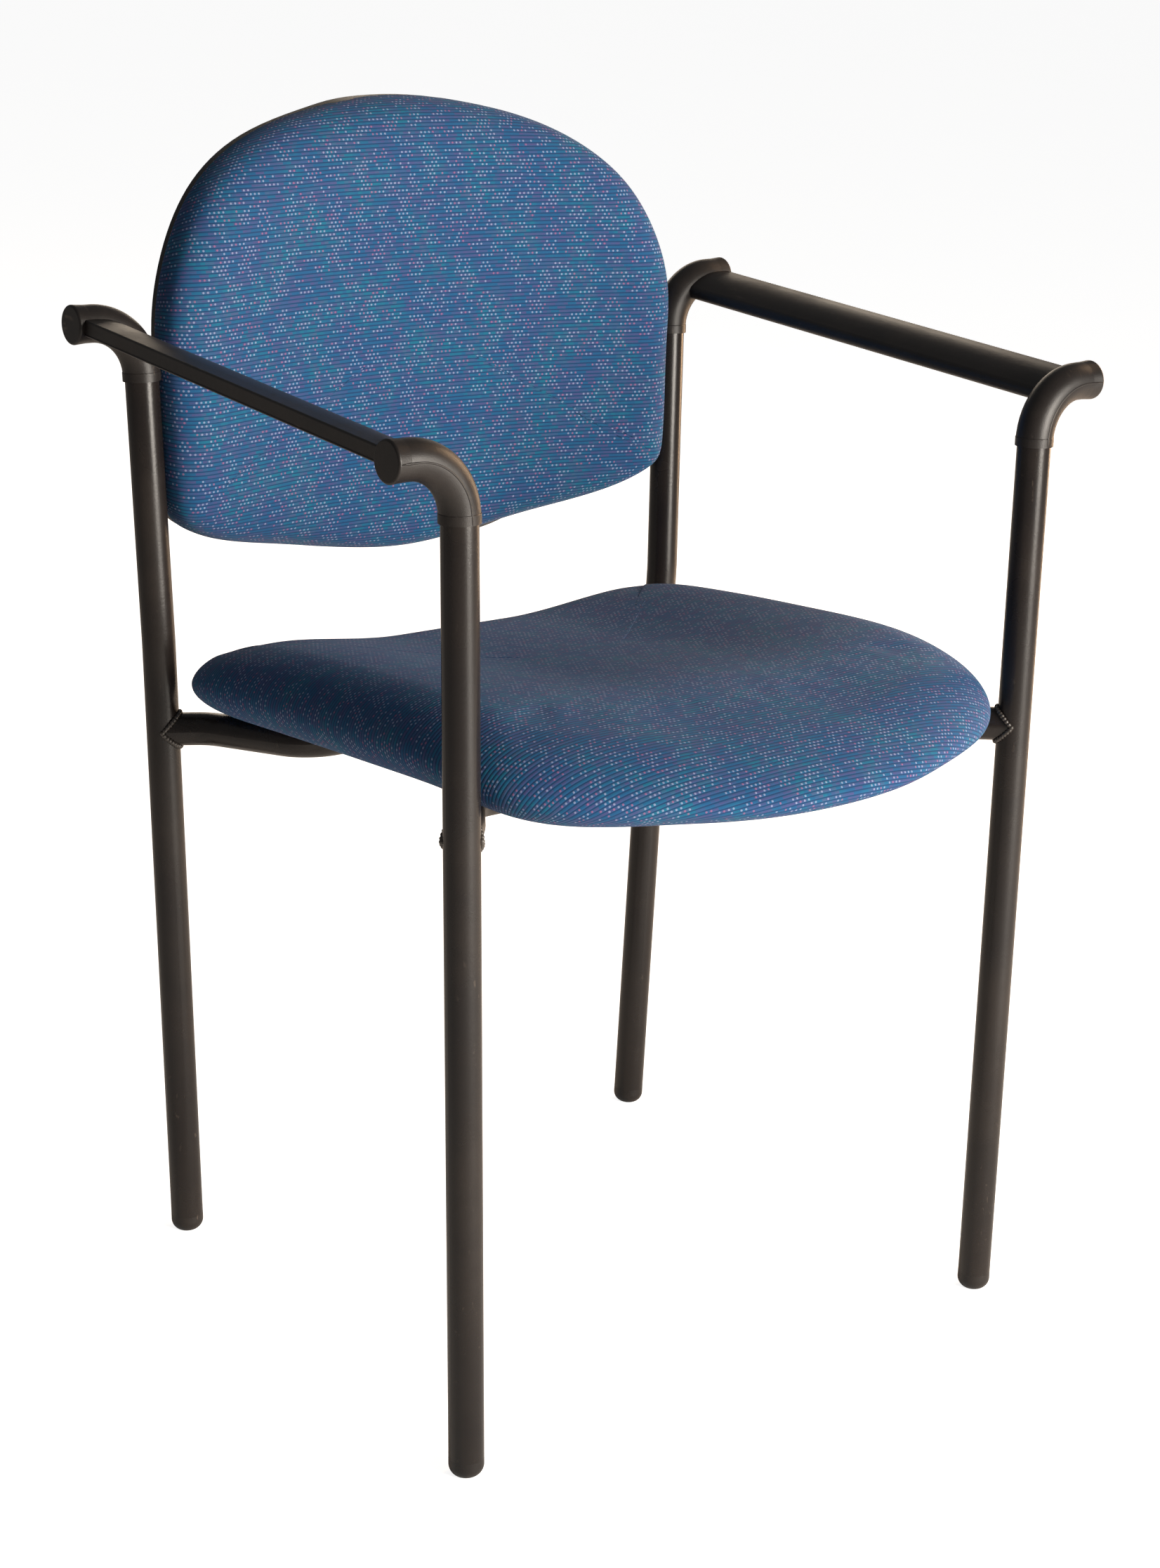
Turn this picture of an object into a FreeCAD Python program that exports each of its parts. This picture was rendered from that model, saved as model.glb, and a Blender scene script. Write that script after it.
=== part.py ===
import FreeCAD, Part
import math
import os

# Stacking armchair: four tube legs, two bow rails, moulded arms, upholstered seat and back.
# Axes: X across the chair (+X is the sitter's left), Y from front to back, Z up from the floor.
# Every length is in millimetres.

V = FreeCAD.Vector

# ---------------------------------------------------------------- driving dimensions
FRAME_SHIFT_Y = -21.8        # moves the whole chair so that its box is centred on Y

TUBE_RADIUS = 11.1           # 7/8 inch steel tube
TUBE_WALL = 1.6
TUBE_BORE = TUBE_RADIUS - TUBE_WALL

FRONT_FOOT = V(220.4, -181.6, 0.0)
FRONT_COLLAR = V(230.2, -142.5, 594.7)
REAR_FOOT = V(200.7, 181.6, 0.0)
REAR_KNEE = V(216.9, 203.9, 429.0)
REAR_COLLAR = V(221.9, 220.4, 602.3)
KNEE_BEND = 160.0

FOOT_CAP_HEIGHT = 12.0
FOOT_PLUG_LENGTH = 20.0
FOOT_ROUNDING = 8.0

ELBOW_RADIUS = 12.2
ELBOW_COLLAR_RADIUS = 12.5
ELBOW_COLLAR_HEIGHT = 6.0
ELBOW_END_RADIUS = 12.9
ELBOW_FLARE = 9.0
ELBOW_BEND = 36.0
ELBOW_RISE = 39.0
ELBOW_REACH = 49.0
SOCKET_DEPTH = 3.0
SPIGOT_LENGTH = 28.0
ARM_THICKNESS = 10.5
ARM_WRAP = 39.0              # degrees of the elbow curve that the arm bar follows
ARM_EDGE_SETBACK = 4.0
ARM_EDGE_RADIUS = 1.2

RAIL_HEIGHT = 391.0          # rail axis height where the seat plane crosses Y = 0
SEAT_SLOPE = 0.11            # rise of the seat towards the front
SEAT_TILT = -math.degrees(math.atan(SEAT_SLOPE))
RAIL_BEND = 30.0
REAR_RAIL_KNEE = (190.0, 182.0)
REAR_RAIL_CORNER = (162.0, 104.0)
FRONT_RAIL_KNEE = (204.0, -128.0)
FRONT_RAIL_CORNER = (172.0, -84.0)
WELD_RADIUS = 2.6

SEAT_FRONT = -236.0
SEAT_REAR = 196.0
SEAT_HALF_WIDTH = 213.0
SEAT_THICKNESS = 48.0
SEAT_BOARD = 12.0
SEAT_BOARD_INSET = 26.0
SEAT_LINING = 1.0
SEAT_LINING_INSET = 32.0
SEAT_SCREW_X = 105.0
NOSE_START = -100.0          # where the underside of the seat begins to turn down
NOSE_DROP = 22.0

BACK_TOP = 772.0
BACK_BOTTOM = 461.5
BACK_HALF_WIDTH = 208.6
BACK_LEAN = 0.08
BACK_REAR_Y = 229.0          # rear face of the shell at its side edges, 600 above the floor
BACK_SAG = 37.0              # how far the middle lies behind the side edges
BACK_SHELL = 3.0
BACK_RIM_DEPTH = 11.0
BACK_RIM_WIDTH = 4.0
BACK_BOARD_GAP = 0.2
BACK_CUSHION = 29.0
BACK_CUSHION_INSET = 1.5
BACK_ROUNDING = 12.0
TAB_SIZE = (60.0, 3.0, 28.0)
TAB_X = 188.0
TAB_HEIGHTS = (535.0, 575.0)

SCREW_SHANK = 3.0
SCREW_HEAD = 6.0
SCREW_HEAD_HEIGHT = 3.4
NUT_BARREL = 4.0
NUT_FLANGE = 9.0
NUT_FLANGE_THICKNESS = 1.5
CLEARANCE = 0.25


# ---------------------------------------------------------------- helpers
def axis_point(a, b, z):
    """Point at height z on the straight line through a and b."""
    return a + (b - a) * ((z - a.z) / (b.z - a.z))


def unit(v):
    """The same direction with length one."""
    return V(v).normalize()


def bent_path(points, radius):
    """Straight runs through the points, joined by tangent arcs of one radius."""
    edges = []
    start = points[0]
    for before, corner, after in zip(points, points[1:], points[2:]):
        towards = unit(before - corner)
        away = unit(after - corner)
        half = towards.getAngle(away) / 2.0
        run = radius / math.tan(half)
        middle = unit(towards + away)
        arc_start = corner + towards * run
        arc_end = corner + away * run
        crown = corner + middle * (radius / math.sin(half) - radius)
        edges.append(Part.LineSegment(start, arc_start).toShape())
        edges.append(Part.Arc(arc_start, crown, arc_end).toShape())
        start = arc_end
    edges.append(Part.LineSegment(start, points[-1]).toShape())
    return Part.Wire(edges)


def sweep_round(points, bend, radius):
    """Solid round bar along a bent path."""
    profile = Part.Wire(Part.makeCircle(radius, points[0], points[1] - points[0]))
    return bent_path(points, bend).makePipeShell([profile], True, True)


def bent_tube(points, bend, radius, bore):
    """Hollow tube along a bent path."""
    return sweep_round(points, bend, radius).cut(sweep_round(points, bend, bore))


def mirrored(shape):
    """The same shape on the other side of the chair."""
    return shape.mirror(V(0, 0, 0), V(1, 0, 0))


def mirrored_path(points):
    """Path continued with its mirror image across the middle of the chair."""
    return points + [V(-p.x, p.y, p.z) for p in reversed(points)]


def symmetric_outline(half, inset=0.0):
    """Smooth closed face through half an outline and its mirror image, drawn in by an inset."""
    half_width = max(x for x, _ in half)
    middle = (half[0][1] + half[-1][1]) / 2.0
    half_length = abs(half[0][1] - half[-1][1]) / 2.0
    narrow = (half_width - inset) / half_width
    shorten = (half_length - inset) / half_length
    right = [V(x * narrow, middle + (y - middle) * shorten, 0) for x, y in half]
    left = [V(-p.x, p.y, 0) for p in reversed(right)]
    edges = []
    for side, heading in ((right, V(1, 0, 0)), (left, V(-1, 0, 0))):
        curve = Part.BSplineCurve()
        curve.interpolate(Points=side, InitialTangent=heading, FinalTangent=heading * -1.0)
        edges.append(curve.toShape())
    return Part.Face(Part.Wire(edges))


def to_seat(shape):
    """Places a shape drawn flat on the rail plane onto the sloping seat frame."""
    moved = shape.copy()
    moved.rotate(V(0, 0, 0), V(1, 0, 0), SEAT_TILT)
    moved.translate(V(0, 0, RAIL_HEIGHT))
    return moved


def on_rail_plane(x, y):
    """Point of the sloping rail plane above the plan position x, y."""
    return V(x, y, RAIL_HEIGHT - SEAT_SLOPE * y)


def rod(start, direction, length, radius):
    """Round rod from a start point along a direction."""
    return Part.makeCylinder(radius, length, start, direction)


def fillet_where(solid, radius, chosen):
    """Rounds the edges for which chosen(edge) is true."""
    edges = [edge for edge in solid.Edges if chosen(edge)]
    return solid.makeFillet(radius, edges)


# ---------------------------------------------------------------- legs and feet
def leg_points(foot, collar, knee=None):
    """Corner points of a leg axis from the top of its foot cap to its end in the arm."""
    upper_from = knee if knee else foot
    top = collar + unit(collar - upper_from) * SOCKET_DEPTH
    bottom = axis_point(foot, knee if knee else collar, FOOT_CAP_HEIGHT)
    middle = [knee] if knee else []
    return [bottom] + middle + [top]


def foot_cap(foot, above):
    """Rounded glide closing the lower end of a leg, with a plug inside the tube."""
    direction = unit(above - foot)
    bottom = foot - direction * 0.4
    height = (axis_point(foot, above, FOOT_CAP_HEIGHT) - bottom).Length
    cap = rod(bottom, direction, height, TUBE_RADIUS)
    cap = fillet_where(cap, FOOT_ROUNDING, lambda e: e.BoundBox.ZMax < 3.0)
    plug = rod(bottom + direction * height, direction, FOOT_PLUG_LENGTH, TUBE_BORE - 0.05)
    plug = fillet_where(plug, 1.5, lambda e: e.BoundBox.ZMin > FOOT_CAP_HEIGHT + 5.0)
    floor = Part.makeBox(60, 60, 20, V(foot.x - 30, foot.y - 30, -20))
    return cap.fuse(plug).cut(floor).removeSplitter()


# ---------------------------------------------------------------- arms
def elbow_corner(collar, below):
    """Point where the leg axis and the outward axis of an elbow would meet."""
    return collar + unit(collar - below) * ELBOW_RISE


def elbow(collar, below):
    """Quarter bend from the top of a leg outward, flared at its free end."""
    direction = unit(collar - below)
    corner = elbow_corner(collar, below)
    end = corner + V(ELBOW_REACH, 0, 0)
    body = sweep_round([collar, corner, end], ELBOW_BEND, ELBOW_RADIUS)
    lip = rod(collar, direction, ELBOW_COLLAR_HEIGHT, ELBOW_COLLAR_RADIUS)
    lip = fillet_where(lip, 0.5, lambda e: e.BoundBox.ZMin > collar.z + 3.0)
    flare_start = end - V(ELBOW_FLARE, 0, 0)
    flare = Part.makeCone(ELBOW_RADIUS, ELBOW_END_RADIUS, ELBOW_FLARE, flare_start, V(1, 0, 0))
    flare = fillet_where(flare, 1.5, lambda e: e.BoundBox.XMin > end.x - 0.5)
    trimmed = body.cut(Part.makeBox(10, 40, 40, end - V(2.0, 20, 20)))
    return trimmed.fuse(lip).fuse(flare)


def arm_section(corner):
    """Section of the arm bar: a plate that follows the curve of the elbow."""
    centre = corner + V(ELBOW_BEND, 0, -ELBOW_BEND)
    outer = ELBOW_BEND + ARM_THICKNESS / 2.0
    inner = ELBOW_BEND - ARM_THICKNESS / 2.0
    edge_x = ELBOW_REACH - ELBOW_BEND - ARM_EDGE_SETBACK
    wrap = math.radians(ARM_WRAP)
    nose = wrap + ARM_THICKNESS / 2.0 / ELBOW_BEND

    def at(radius, angle):
        return centre + V(-radius * math.sin(angle), 0, radius * math.cos(angle))

    pieces = [
        Part.LineSegment(centre + V(edge_x, 0, outer), at(outer, 0)),
        Part.Arc(at(outer, 0), at(outer, wrap / 2.0), at(outer, wrap)),
        Part.Arc(at(outer, wrap), at(ELBOW_BEND, nose), at(inner, wrap)),
        Part.Arc(at(inner, wrap), at(inner, wrap / 2.0), at(inner, 0)),
        Part.LineSegment(at(inner, 0), centre + V(edge_x, 0, inner)),
        Part.LineSegment(centre + V(edge_x, 0, inner), centre + V(edge_x, 0, outer)),
    ]
    return Part.Face(Part.Wire([piece.toShape() for piece in pieces]))


def runs_along_outside(edge, outer_x):
    """True for the long edges on the outer side of the arm bar."""
    box = edge.BoundBox
    return box.YLength > 300.0 and box.XMax > outer_x - 5.0


def arm():
    """One moulding: front elbow, rear elbow, the bar between them and two spigots."""
    front = elbow_corner(FRONT_COLLAR, FRONT_FOOT)
    rear = elbow_corner(REAR_COLLAR, REAR_KNEE)
    bar = arm_section(front).extrude(rear - front)
    outer_x = front.x + ELBOW_REACH - ARM_EDGE_SETBACK
    bar = fillet_where(bar, ARM_EDGE_RADIUS, lambda e: runs_along_outside(e, outer_x))
    body = elbow(FRONT_COLLAR, FRONT_FOOT).fuse(elbow(REAR_COLLAR, REAR_KNEE)).fuse(bar)
    for collar, below in ((FRONT_COLLAR, FRONT_FOOT), (REAR_COLLAR, REAR_KNEE)):
        direction = unit(collar - below)
        socket = rod(collar - direction, direction, SOCKET_DEPTH + 1.0, TUBE_RADIUS)
        body = body.cut(socket)
        spigot_start = collar - direction * SPIGOT_LENGTH
        spigot = rod(spigot_start, direction, SPIGOT_LENGTH + SOCKET_DEPTH + 0.5, TUBE_BORE - 0.05)
        body = body.fuse(spigot)
    return body.removeSplitter()


# ---------------------------------------------------------------- bow rails and welds
def rail_end(foot, above):
    """Point where a leg axis crosses the sloping rail plane."""
    direction = above - foot
    t = (RAIL_HEIGHT - SEAT_SLOPE * foot.y - foot.z) / (direction.z + SEAT_SLOPE * direction.y)
    return foot + direction * t


def rail_points(end, knee, corner):
    """Corner points of one bow rail from leg to leg."""
    half = [end, on_rail_plane(*knee), on_rail_plane(*corner)]
    return mirrored_path(half)


def screw_hole(x, y, radius, low, high):
    """Hole through the seat plane at a plan position, between two local heights."""
    return to_seat(Part.makeCylinder(radius, high - low, V(x, y, low), V(0, 0, 1)))


def weld_ring(end, knee, leg, rail):
    """Bead of weld around the end of a rail where it meets a leg."""
    direction = unit(knee - end)
    seat = end + direction * (TUBE_RADIUS + 1.2)
    ring = Part.makeTorus(TUBE_RADIUS + 0.6, WELD_RADIUS, seat, direction)
    return ring.cut(leg).cut(rail)


# ---------------------------------------------------------------- seat
def seat_outline(inset=0.0):
    """Plan of the seat: straight sides, round corners, bowed front edge."""
    w = SEAT_HALF_WIDTH
    half = [
        (0.0, SEAT_REAR),
        (0.40 * w, SEAT_REAR + 1.0),
        (0.78 * w, SEAT_REAR),
        (0.935 * w, SEAT_REAR - 8.0),
        (0.99 * w, SEAT_REAR - 33.0),
        (1.00 * w, SEAT_REAR - 80.0),
        (1.00 * w, SEAT_REAR - 190.0),
        (0.99 * w, SEAT_FRONT + 127.0),
        (0.955 * w, SEAT_FRONT + 88.0),
        (0.84 * w, SEAT_FRONT + 54.5),
        (0.615 * w, SEAT_FRONT + 27.0),
        (0.32 * w, SEAT_FRONT + 7.0),
        (0.0, SEAT_FRONT),
    ]
    return symmetric_outline(half, inset)


def seat_underside(height, rear, front):
    """Lower line of the seat seen from the side: flat, then turned down at the nose."""
    flat = Part.LineSegment(V(0, rear, height), V(0, NOSE_START, height))
    middle = V(0, (NOSE_START + front) / 2.0, height - NOSE_DROP * 0.40)
    nose = Part.Arc(V(0, NOSE_START, height), middle, V(0, front, height - NOSE_DROP))
    return [flat.toShape(), nose.toShape()]


def smooth_line(points):
    """Edge of one smooth curve through points."""
    curve = Part.BSplineCurve()
    curve.interpolate(points)
    return curve.toShape()


def extruded(edges, length, direction):
    """Closed profile of edges extruded both ways along a direction."""
    face = Part.Face(Part.Wire(Part.__sortEdges__(edges)))
    face.translate(direction * (-length / 2.0))
    return face.extrude(direction * length)


def seat_slab(low, high, inset):
    """Sheet of the seat base between two heights, trimmed to the seat plan."""
    rear = SEAT_REAR + 8.0
    front = SEAT_FRONT - 8.0
    ends = [
        Part.LineSegment(V(0, rear, low), V(0, rear, high)).toShape(),
        Part.LineSegment(V(0, front, low - NOSE_DROP), V(0, front, high - NOSE_DROP)).toShape(),
    ]
    edges = seat_underside(low, rear, front) + seat_underside(high, rear, front) + ends
    prism = seat_outline(inset).extrude(V(0, 0, 160.0))
    prism.translate(V(0, 0, -60.0))
    return prism.common(extruded(edges, 600.0, V(1, 0, 0)))


def seat_side_profile():
    """Padded seat seen from the side: round rear border, crown, waterfall nose."""
    base = TUBE_RADIUS
    rear_low = V(0, SEAT_REAR - 20.0, base)
    rear_high = V(0, SEAT_REAR - 16.0, base + SEAT_THICKNESS * 0.80)
    nose_low = V(0, SEAT_FRONT + 9.0, base - NOSE_DROP)
    nose_high = V(0, SEAT_FRONT + 12.0, base + SEAT_THICKNESS * 0.28)
    crown = [
        rear_high,
        V(0, SEAT_REAR - 76.0, base + SEAT_THICKNESS * 0.94),
        V(0, SEAT_REAR - 156.0, base + SEAT_THICKNESS),
        V(0, SEAT_REAR - 236.0, base + SEAT_THICKNESS),
        V(0, SEAT_REAR - 286.0, base + SEAT_THICKNESS * 0.92),
        V(0, SEAT_FRONT + 92.0, base + SEAT_THICKNESS * 0.76),
        V(0, SEAT_FRONT + 45.0, base + SEAT_THICKNESS * 0.54),
        nose_high,
    ]
    edges = seat_underside(base, rear_low.y, nose_low.y)
    edges.append(Part.Arc(nose_low, V(0, SEAT_FRONT, base - 3.0), nose_high).toShape())
    edges.append(smooth_line(crown))
    edges.append(Part.Arc(rear_high, V(0, SEAT_REAR, base + 22.0), rear_low).toShape())
    return extruded(edges, 600.0, V(1, 0, 0))


def seat_front_profile():
    """Padded seat seen from the front: rounded upper and lower side borders."""
    base = TUBE_RADIUS
    w = SEAT_HALF_WIDTH
    top = SEAT_THICKNESS + 1.0
    lower = [(w - 24.0, 0.0), (w - 9.0, 8.5), (w - 1.5, 18.0), (w, 25.0)]
    upper = [(w - 3.0, 33.0), (w - 13.0, 42.0), (w - 36.0, top)]
    border = lower + upper
    right = [V(x, 0, base + z) for x, z in border]
    left = [V(-x, 0, base + z) for x, z in border]
    skirt = [V(-w + 24.0, 0, base - 40.0), V(w - 24.0, 0, base - 40.0)]
    edges = [
        smooth_line(right),
        smooth_line(left),
        Part.LineSegment(right[-1], left[-1]).toShape(),
        Part.LineSegment(left[0], skirt[0]).toShape(),
        Part.LineSegment(skirt[0], skirt[1]).toShape(),
        Part.LineSegment(skirt[1], right[0]).toShape(),
    ]
    return extruded(edges, 700.0, V(0, 1, 0))


def seat_body():
    """Outer volume of the padded seat."""
    prism = seat_outline().extrude(V(0, 0, 160.0))
    prism.translate(V(0, 0, -60.0))
    return prism.common(seat_side_profile()).common(seat_front_profile())


def seat_screw_places():
    """Plan positions of the seat screws on the two rails, in the flat seat frame."""
    scale = math.sqrt(1.0 + SEAT_SLOPE ** 2)
    rear_y = REAR_RAIL_CORNER[1] * scale
    front_y = FRONT_RAIL_CORNER[1] * scale
    return [(x, y) for y in (front_y, rear_y) for x in (-SEAT_SCREW_X, SEAT_SCREW_X)]


# ---------------------------------------------------------------- back
def back_outline(inset=0.0):
    """Upright outline of the back: arched top, full sides, round lower corners, sagging lower edge."""
    w = BACK_HALF_WIDTH
    half = [
        (0.0, BACK_TOP),
        (0.32 * w, BACK_TOP - 7.0),
        (0.60 * w, BACK_TOP - 23.0),
        (0.84 * w, BACK_TOP - 56.0),
        (0.955 * w, BACK_TOP - 95.0),
        (1.00 * w, BACK_TOP - 132.0),
        (1.00 * w, BACK_TOP - 169.0),
        (0.996 * w, BACK_BOTTOM + 98.0),
        (0.992 * w, BACK_BOTTOM + 68.0),
        (0.975 * w, BACK_BOTTOM + 51.0),
        (0.91 * w, BACK_BOTTOM + 39.5),
        (0.53 * w, BACK_BOTTOM + 17.5),
        (0.0, BACK_BOTTOM),
    ]
    return symmetric_outline(half, inset)


def upright(face, depth=400.0):
    """Turns a flat outline face upright and extends it through the depth of the chair."""
    prism = face.copy()
    prism.rotate(V(0, 0, 0), V(1, 0, 0), 90.0)
    prism.translate(V(0, 400.0, 0))
    return prism.extrude(V(0, -depth, 0))


def back_curve(x):
    """How far behind its side edges the back lies at a given width, along one circular arc."""
    radius = (BACK_HALF_WIDTH ** 2 + BACK_SAG ** 2) / (2.0 * BACK_SAG)
    return math.sqrt(radius ** 2 - x ** 2) - radius + BACK_SAG


def back_layer(near, far):
    """Curved leaning slab between two distances in front of the rear face of the back."""
    base_z = BACK_BOTTOM - 40.0
    half = BACK_HALF_WIDTH + 30.0

    def arc(offset):
        edge_y = back_rear_y(half, base_z) - offset
        crown_y = back_rear_y(0.0, base_z) - offset
        return Part.Arc(V(-half, edge_y, base_z), V(0, crown_y, base_z), V(half, edge_y, base_z))

    rear = arc(near)
    front = arc(far)
    sides = [
        Part.LineSegment(rear.EndPoint, front.EndPoint).toShape(),
        Part.LineSegment(front.StartPoint, rear.StartPoint).toShape(),
    ]
    wire = Part.Wire(Part.__sortEdges__([rear.toShape(), front.toShape()] + sides))
    rise = BACK_TOP - BACK_BOTTOM + 80.0
    return Part.Face(wire).extrude(V(0, BACK_LEAN * rise, rise))


def back_rear_y(x, z):
    """Y of the rear face of the back shell at a given width and height."""
    return BACK_REAR_Y + BACK_LEAN * (z - 600.0) + back_curve(x)


def back_normal(x):
    """Horizontal direction pointing forward out of the back at a given width."""
    slope = (back_curve(x + 1.0) - back_curve(x - 1.0)) / 2.0
    return unit(V(slope, -1.0, BACK_LEAN))


def tab_places():
    """Centres of the four back tabs: rear face of the shell, both sides, two heights."""
    return [V(side * TAB_X, back_rear_y(TAB_X, z), z) for side in (1, -1) for z in TAB_HEIGHTS]


def back_tab(place):
    """Steel tab welded to a rear leg behind the back, bored for one screw."""
    length, thickness, height = TAB_SIZE
    forward = back_normal(place.x)
    tab = Part.makeBox(length, thickness, height, V(-length / 2.0, 0.3, -height / 2.0))
    turn = math.degrees(math.atan2(forward.x, -forward.y))
    tab.rotate(V(0, 0, 0), V(1, 0, 0), -math.degrees(math.atan(BACK_LEAN)))
    tab.rotate(V(0, 0, 0), V(0, 0, 1), turn)
    tab.translate(place)
    bore = rod(place + forward * -12.0, forward, 20.0, SCREW_SHANK + CLEARANCE)
    return tab.cut(bore)


def screw(head_point, direction, length):
    """Round-headed machine screw whose head starts at a point and faces backwards."""
    crown = head_point - direction * SCREW_HEAD_HEIGHT
    head = rod(crown, direction, SCREW_HEAD_HEIGHT, SCREW_HEAD)
    head = fillet_where(head, 1.6, lambda e: (e.BoundBox.Center - crown).Length < 1.0)
    return head.fuse(rod(head_point, direction, length, SCREW_SHANK)).removeSplitter()


def tee_nut(flange_point, direction, length):
    """Tee nut: flange on the padded side of a board, barrel running back through it."""
    flange = rod(flange_point, direction, NUT_FLANGE_THICKNESS, NUT_FLANGE)
    barrel = rod(flange_point - direction * length, direction, length, NUT_BARREL)
    bore = rod(flange_point - direction * (length + 1.0), direction, length + 10.0, SCREW_SHANK + 0.05)
    return flange.fuse(barrel).cut(bore)


# ---------------------------------------------------------------- assembly
def build():
    """Every node of the chair by name."""
    nodes = {}
    legs = {}
    front_points = leg_points(FRONT_FOOT, FRONT_COLLAR)
    rear_points = leg_points(REAR_FOOT, REAR_COLLAR, REAR_KNEE)
    bars = {
        "front": sweep_round(front_points, KNEE_BEND, TUBE_RADIUS),
        "rear": sweep_round(rear_points, KNEE_BEND, TUBE_RADIUS),
    }
    legs["front_leg"] = bent_tube(front_points, KNEE_BEND, TUBE_RADIUS, TUBE_BORE)
    legs["rear_leg"] = bent_tube(rear_points, KNEE_BEND, TUBE_RADIUS, TUBE_BORE)
    legs["front_foot_cap"] = foot_cap(FRONT_FOOT, FRONT_COLLAR)
    legs["rear_foot_cap"] = foot_cap(REAR_FOOT, REAR_KNEE)
    legs["arm"] = arm()
    for name, shape in legs.items():
        nodes[name + "_left"] = shape
        nodes[name + "_right"] = mirrored(shape)

    welds = []
    rails = {
        "front": (rail_end(FRONT_FOOT, FRONT_COLLAR), FRONT_RAIL_KNEE, FRONT_RAIL_CORNER),
        "rear": (rail_end(REAR_FOOT, REAR_KNEE), REAR_RAIL_KNEE, REAR_RAIL_CORNER),
    }
    places = seat_screw_places()
    for name, (end, knee, corner) in rails.items():
        points = rail_points(end, knee, corner)
        leg = bars[name]
        rail_bar = sweep_round(points, RAIL_BEND, TUBE_RADIUS)
        rail = bent_tube(points, RAIL_BEND, TUBE_RADIUS, TUBE_BORE)
        rail = rail.cut(leg).cut(mirrored(leg))
        for x, y in places:
            rail = rail.cut(screw_hole(x, y, SCREW_SHANK + CLEARANCE, -30.0, 30.0))
        nodes[name + "_bow_rail"] = max(rail.Solids, key=lambda s: s.Volume)
        ring = weld_ring(end, on_rail_plane(*knee), leg, rail_bar)
        bead = max(ring.Solids, key=lambda s: s.Volume)
        welds += [bead, mirrored(bead)]

    tabs = []
    for place in tab_places():
        leg = bars["rear"] if place.x > 0 else mirrored(bars["rear"])
        tab = back_tab(place).cut(leg)
        tabs.append(max(tab.Solids, key=lambda s: s.Volume))
        side = "left" if place.x > 0 else "right"
        level = "lower" if place.z < sum(TAB_HEIGHTS) / 2.0 else "upper"
        nodes["back_tab_%s_%s" % (level, side)] = tabs[-1]
    nodes["frame_welds"] = Part.makeCompound(welds)

    flat = TUBE_RADIUS
    board_top = flat + SEAT_BOARD
    board = seat_slab(flat + SEAT_LINING, board_top, SEAT_BOARD_INSET)
    lining = seat_slab(flat, flat + SEAT_LINING, SEAT_LINING_INSET)
    cushion = seat_body().cut(board).cut(lining)
    up = V(0, 0, 1)
    for x, y in places:
        flange = rod(V(x, y, board_top), up, NUT_FLANGE_THICKNESS + 6.0, NUT_FLANGE)
        cushion = cushion.cut(flange)
        board = board.cut(rod(V(x, y, 0), up, 40.0, NUT_BARREL))
        lining = lining.cut(rod(V(x, y, 0), up, 40.0, NUT_BARREL))
    nodes["seat_cushion"] = to_seat(cushion)
    nodes["seat_board"] = to_seat(board)
    nodes["seat_lining"] = to_seat(lining)
    screws = [screw(V(x, y, -TUBE_RADIUS - 0.8), up, 38.0) for x, y in places]
    nuts = [tee_nut(V(x, y, board_top), up, 9.0) for x, y in places]
    nodes["seat_screws"] = to_seat(Part.makeCompound(screws))
    nodes["seat_tee_nuts"] = to_seat(Part.makeCompound(nuts))

    tray = upright(back_outline()).common(back_layer(0.0, BACK_RIM_DEPTH))
    hollow = upright(back_outline(BACK_RIM_WIDTH)).common(back_layer(BACK_SHELL, BACK_RIM_DEPTH + 5.0))
    shell = tray.cut(hollow)
    board = upright(back_outline(BACK_RIM_WIDTH + BACK_BOARD_GAP))
    board = board.common(back_layer(BACK_SHELL, BACK_RIM_DEPTH))
    cushion = upright(back_outline(BACK_CUSHION_INSET))
    cushion = cushion.common(back_layer(BACK_RIM_DEPTH, BACK_RIM_DEPTH + BACK_CUSHION))
    front_face = min(cushion.Faces, key=lambda f: f.CenterOfMass.y if f.Area > 50000.0 else 1e9)
    cushion = cushion.makeFillet(BACK_ROUNDING, front_face.Edges)
    back_screws = []
    back_nuts = []
    for place in tab_places():
        forward = back_normal(place.x)
        flange_point = place + forward * BACK_RIM_DEPTH
        bore = rod(place - forward * 5.0, forward, 40.0, NUT_BARREL)
        shell = shell.cut(bore)
        board = board.cut(bore)
        flange = rod(flange_point - forward * 0.6, forward, NUT_FLANGE_THICKNESS + 7.0, NUT_FLANGE)
        cushion = cushion.cut(flange)
        board = board.cut(flange)
        back_nuts.append(tee_nut(flange_point - forward * 0.6, forward, 7.5))
        head_point = place - forward * (TAB_SIZE[1] + 0.5)
        back_screws.append(screw(head_point, forward, 18.0))
    nodes["back_shell"] = shell
    nodes["back_board"] = board
    nodes["back_cushion"] = cushion
    nodes["back_screws"] = Part.makeCompound(back_screws)
    nodes["back_tee_nuts"] = Part.makeCompound(back_nuts)
    return nodes


def main():
    """Builds every node and writes one STEP file for each."""
    os.makedirs("parts", exist_ok=True)
    total = FreeCAD.BoundBox()
    for name, shape in build().items():
        placed = shape.copy()
        placed.translate(V(0, FRAME_SHIFT_Y, 0))
        total.add(placed.BoundBox)
        placed.exportStep("parts/%s.step" % name)
        print(name, len(placed.Solids), "solids", placed.isValid(), round(placed.Volume))
    print("box", total)


main()
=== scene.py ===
import logging
import math
from dataclasses import dataclass, field
from enum import Enum
from typing import Sequence

import bpy
import numpy as np
from mathutils import Matrix, Vector


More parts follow.
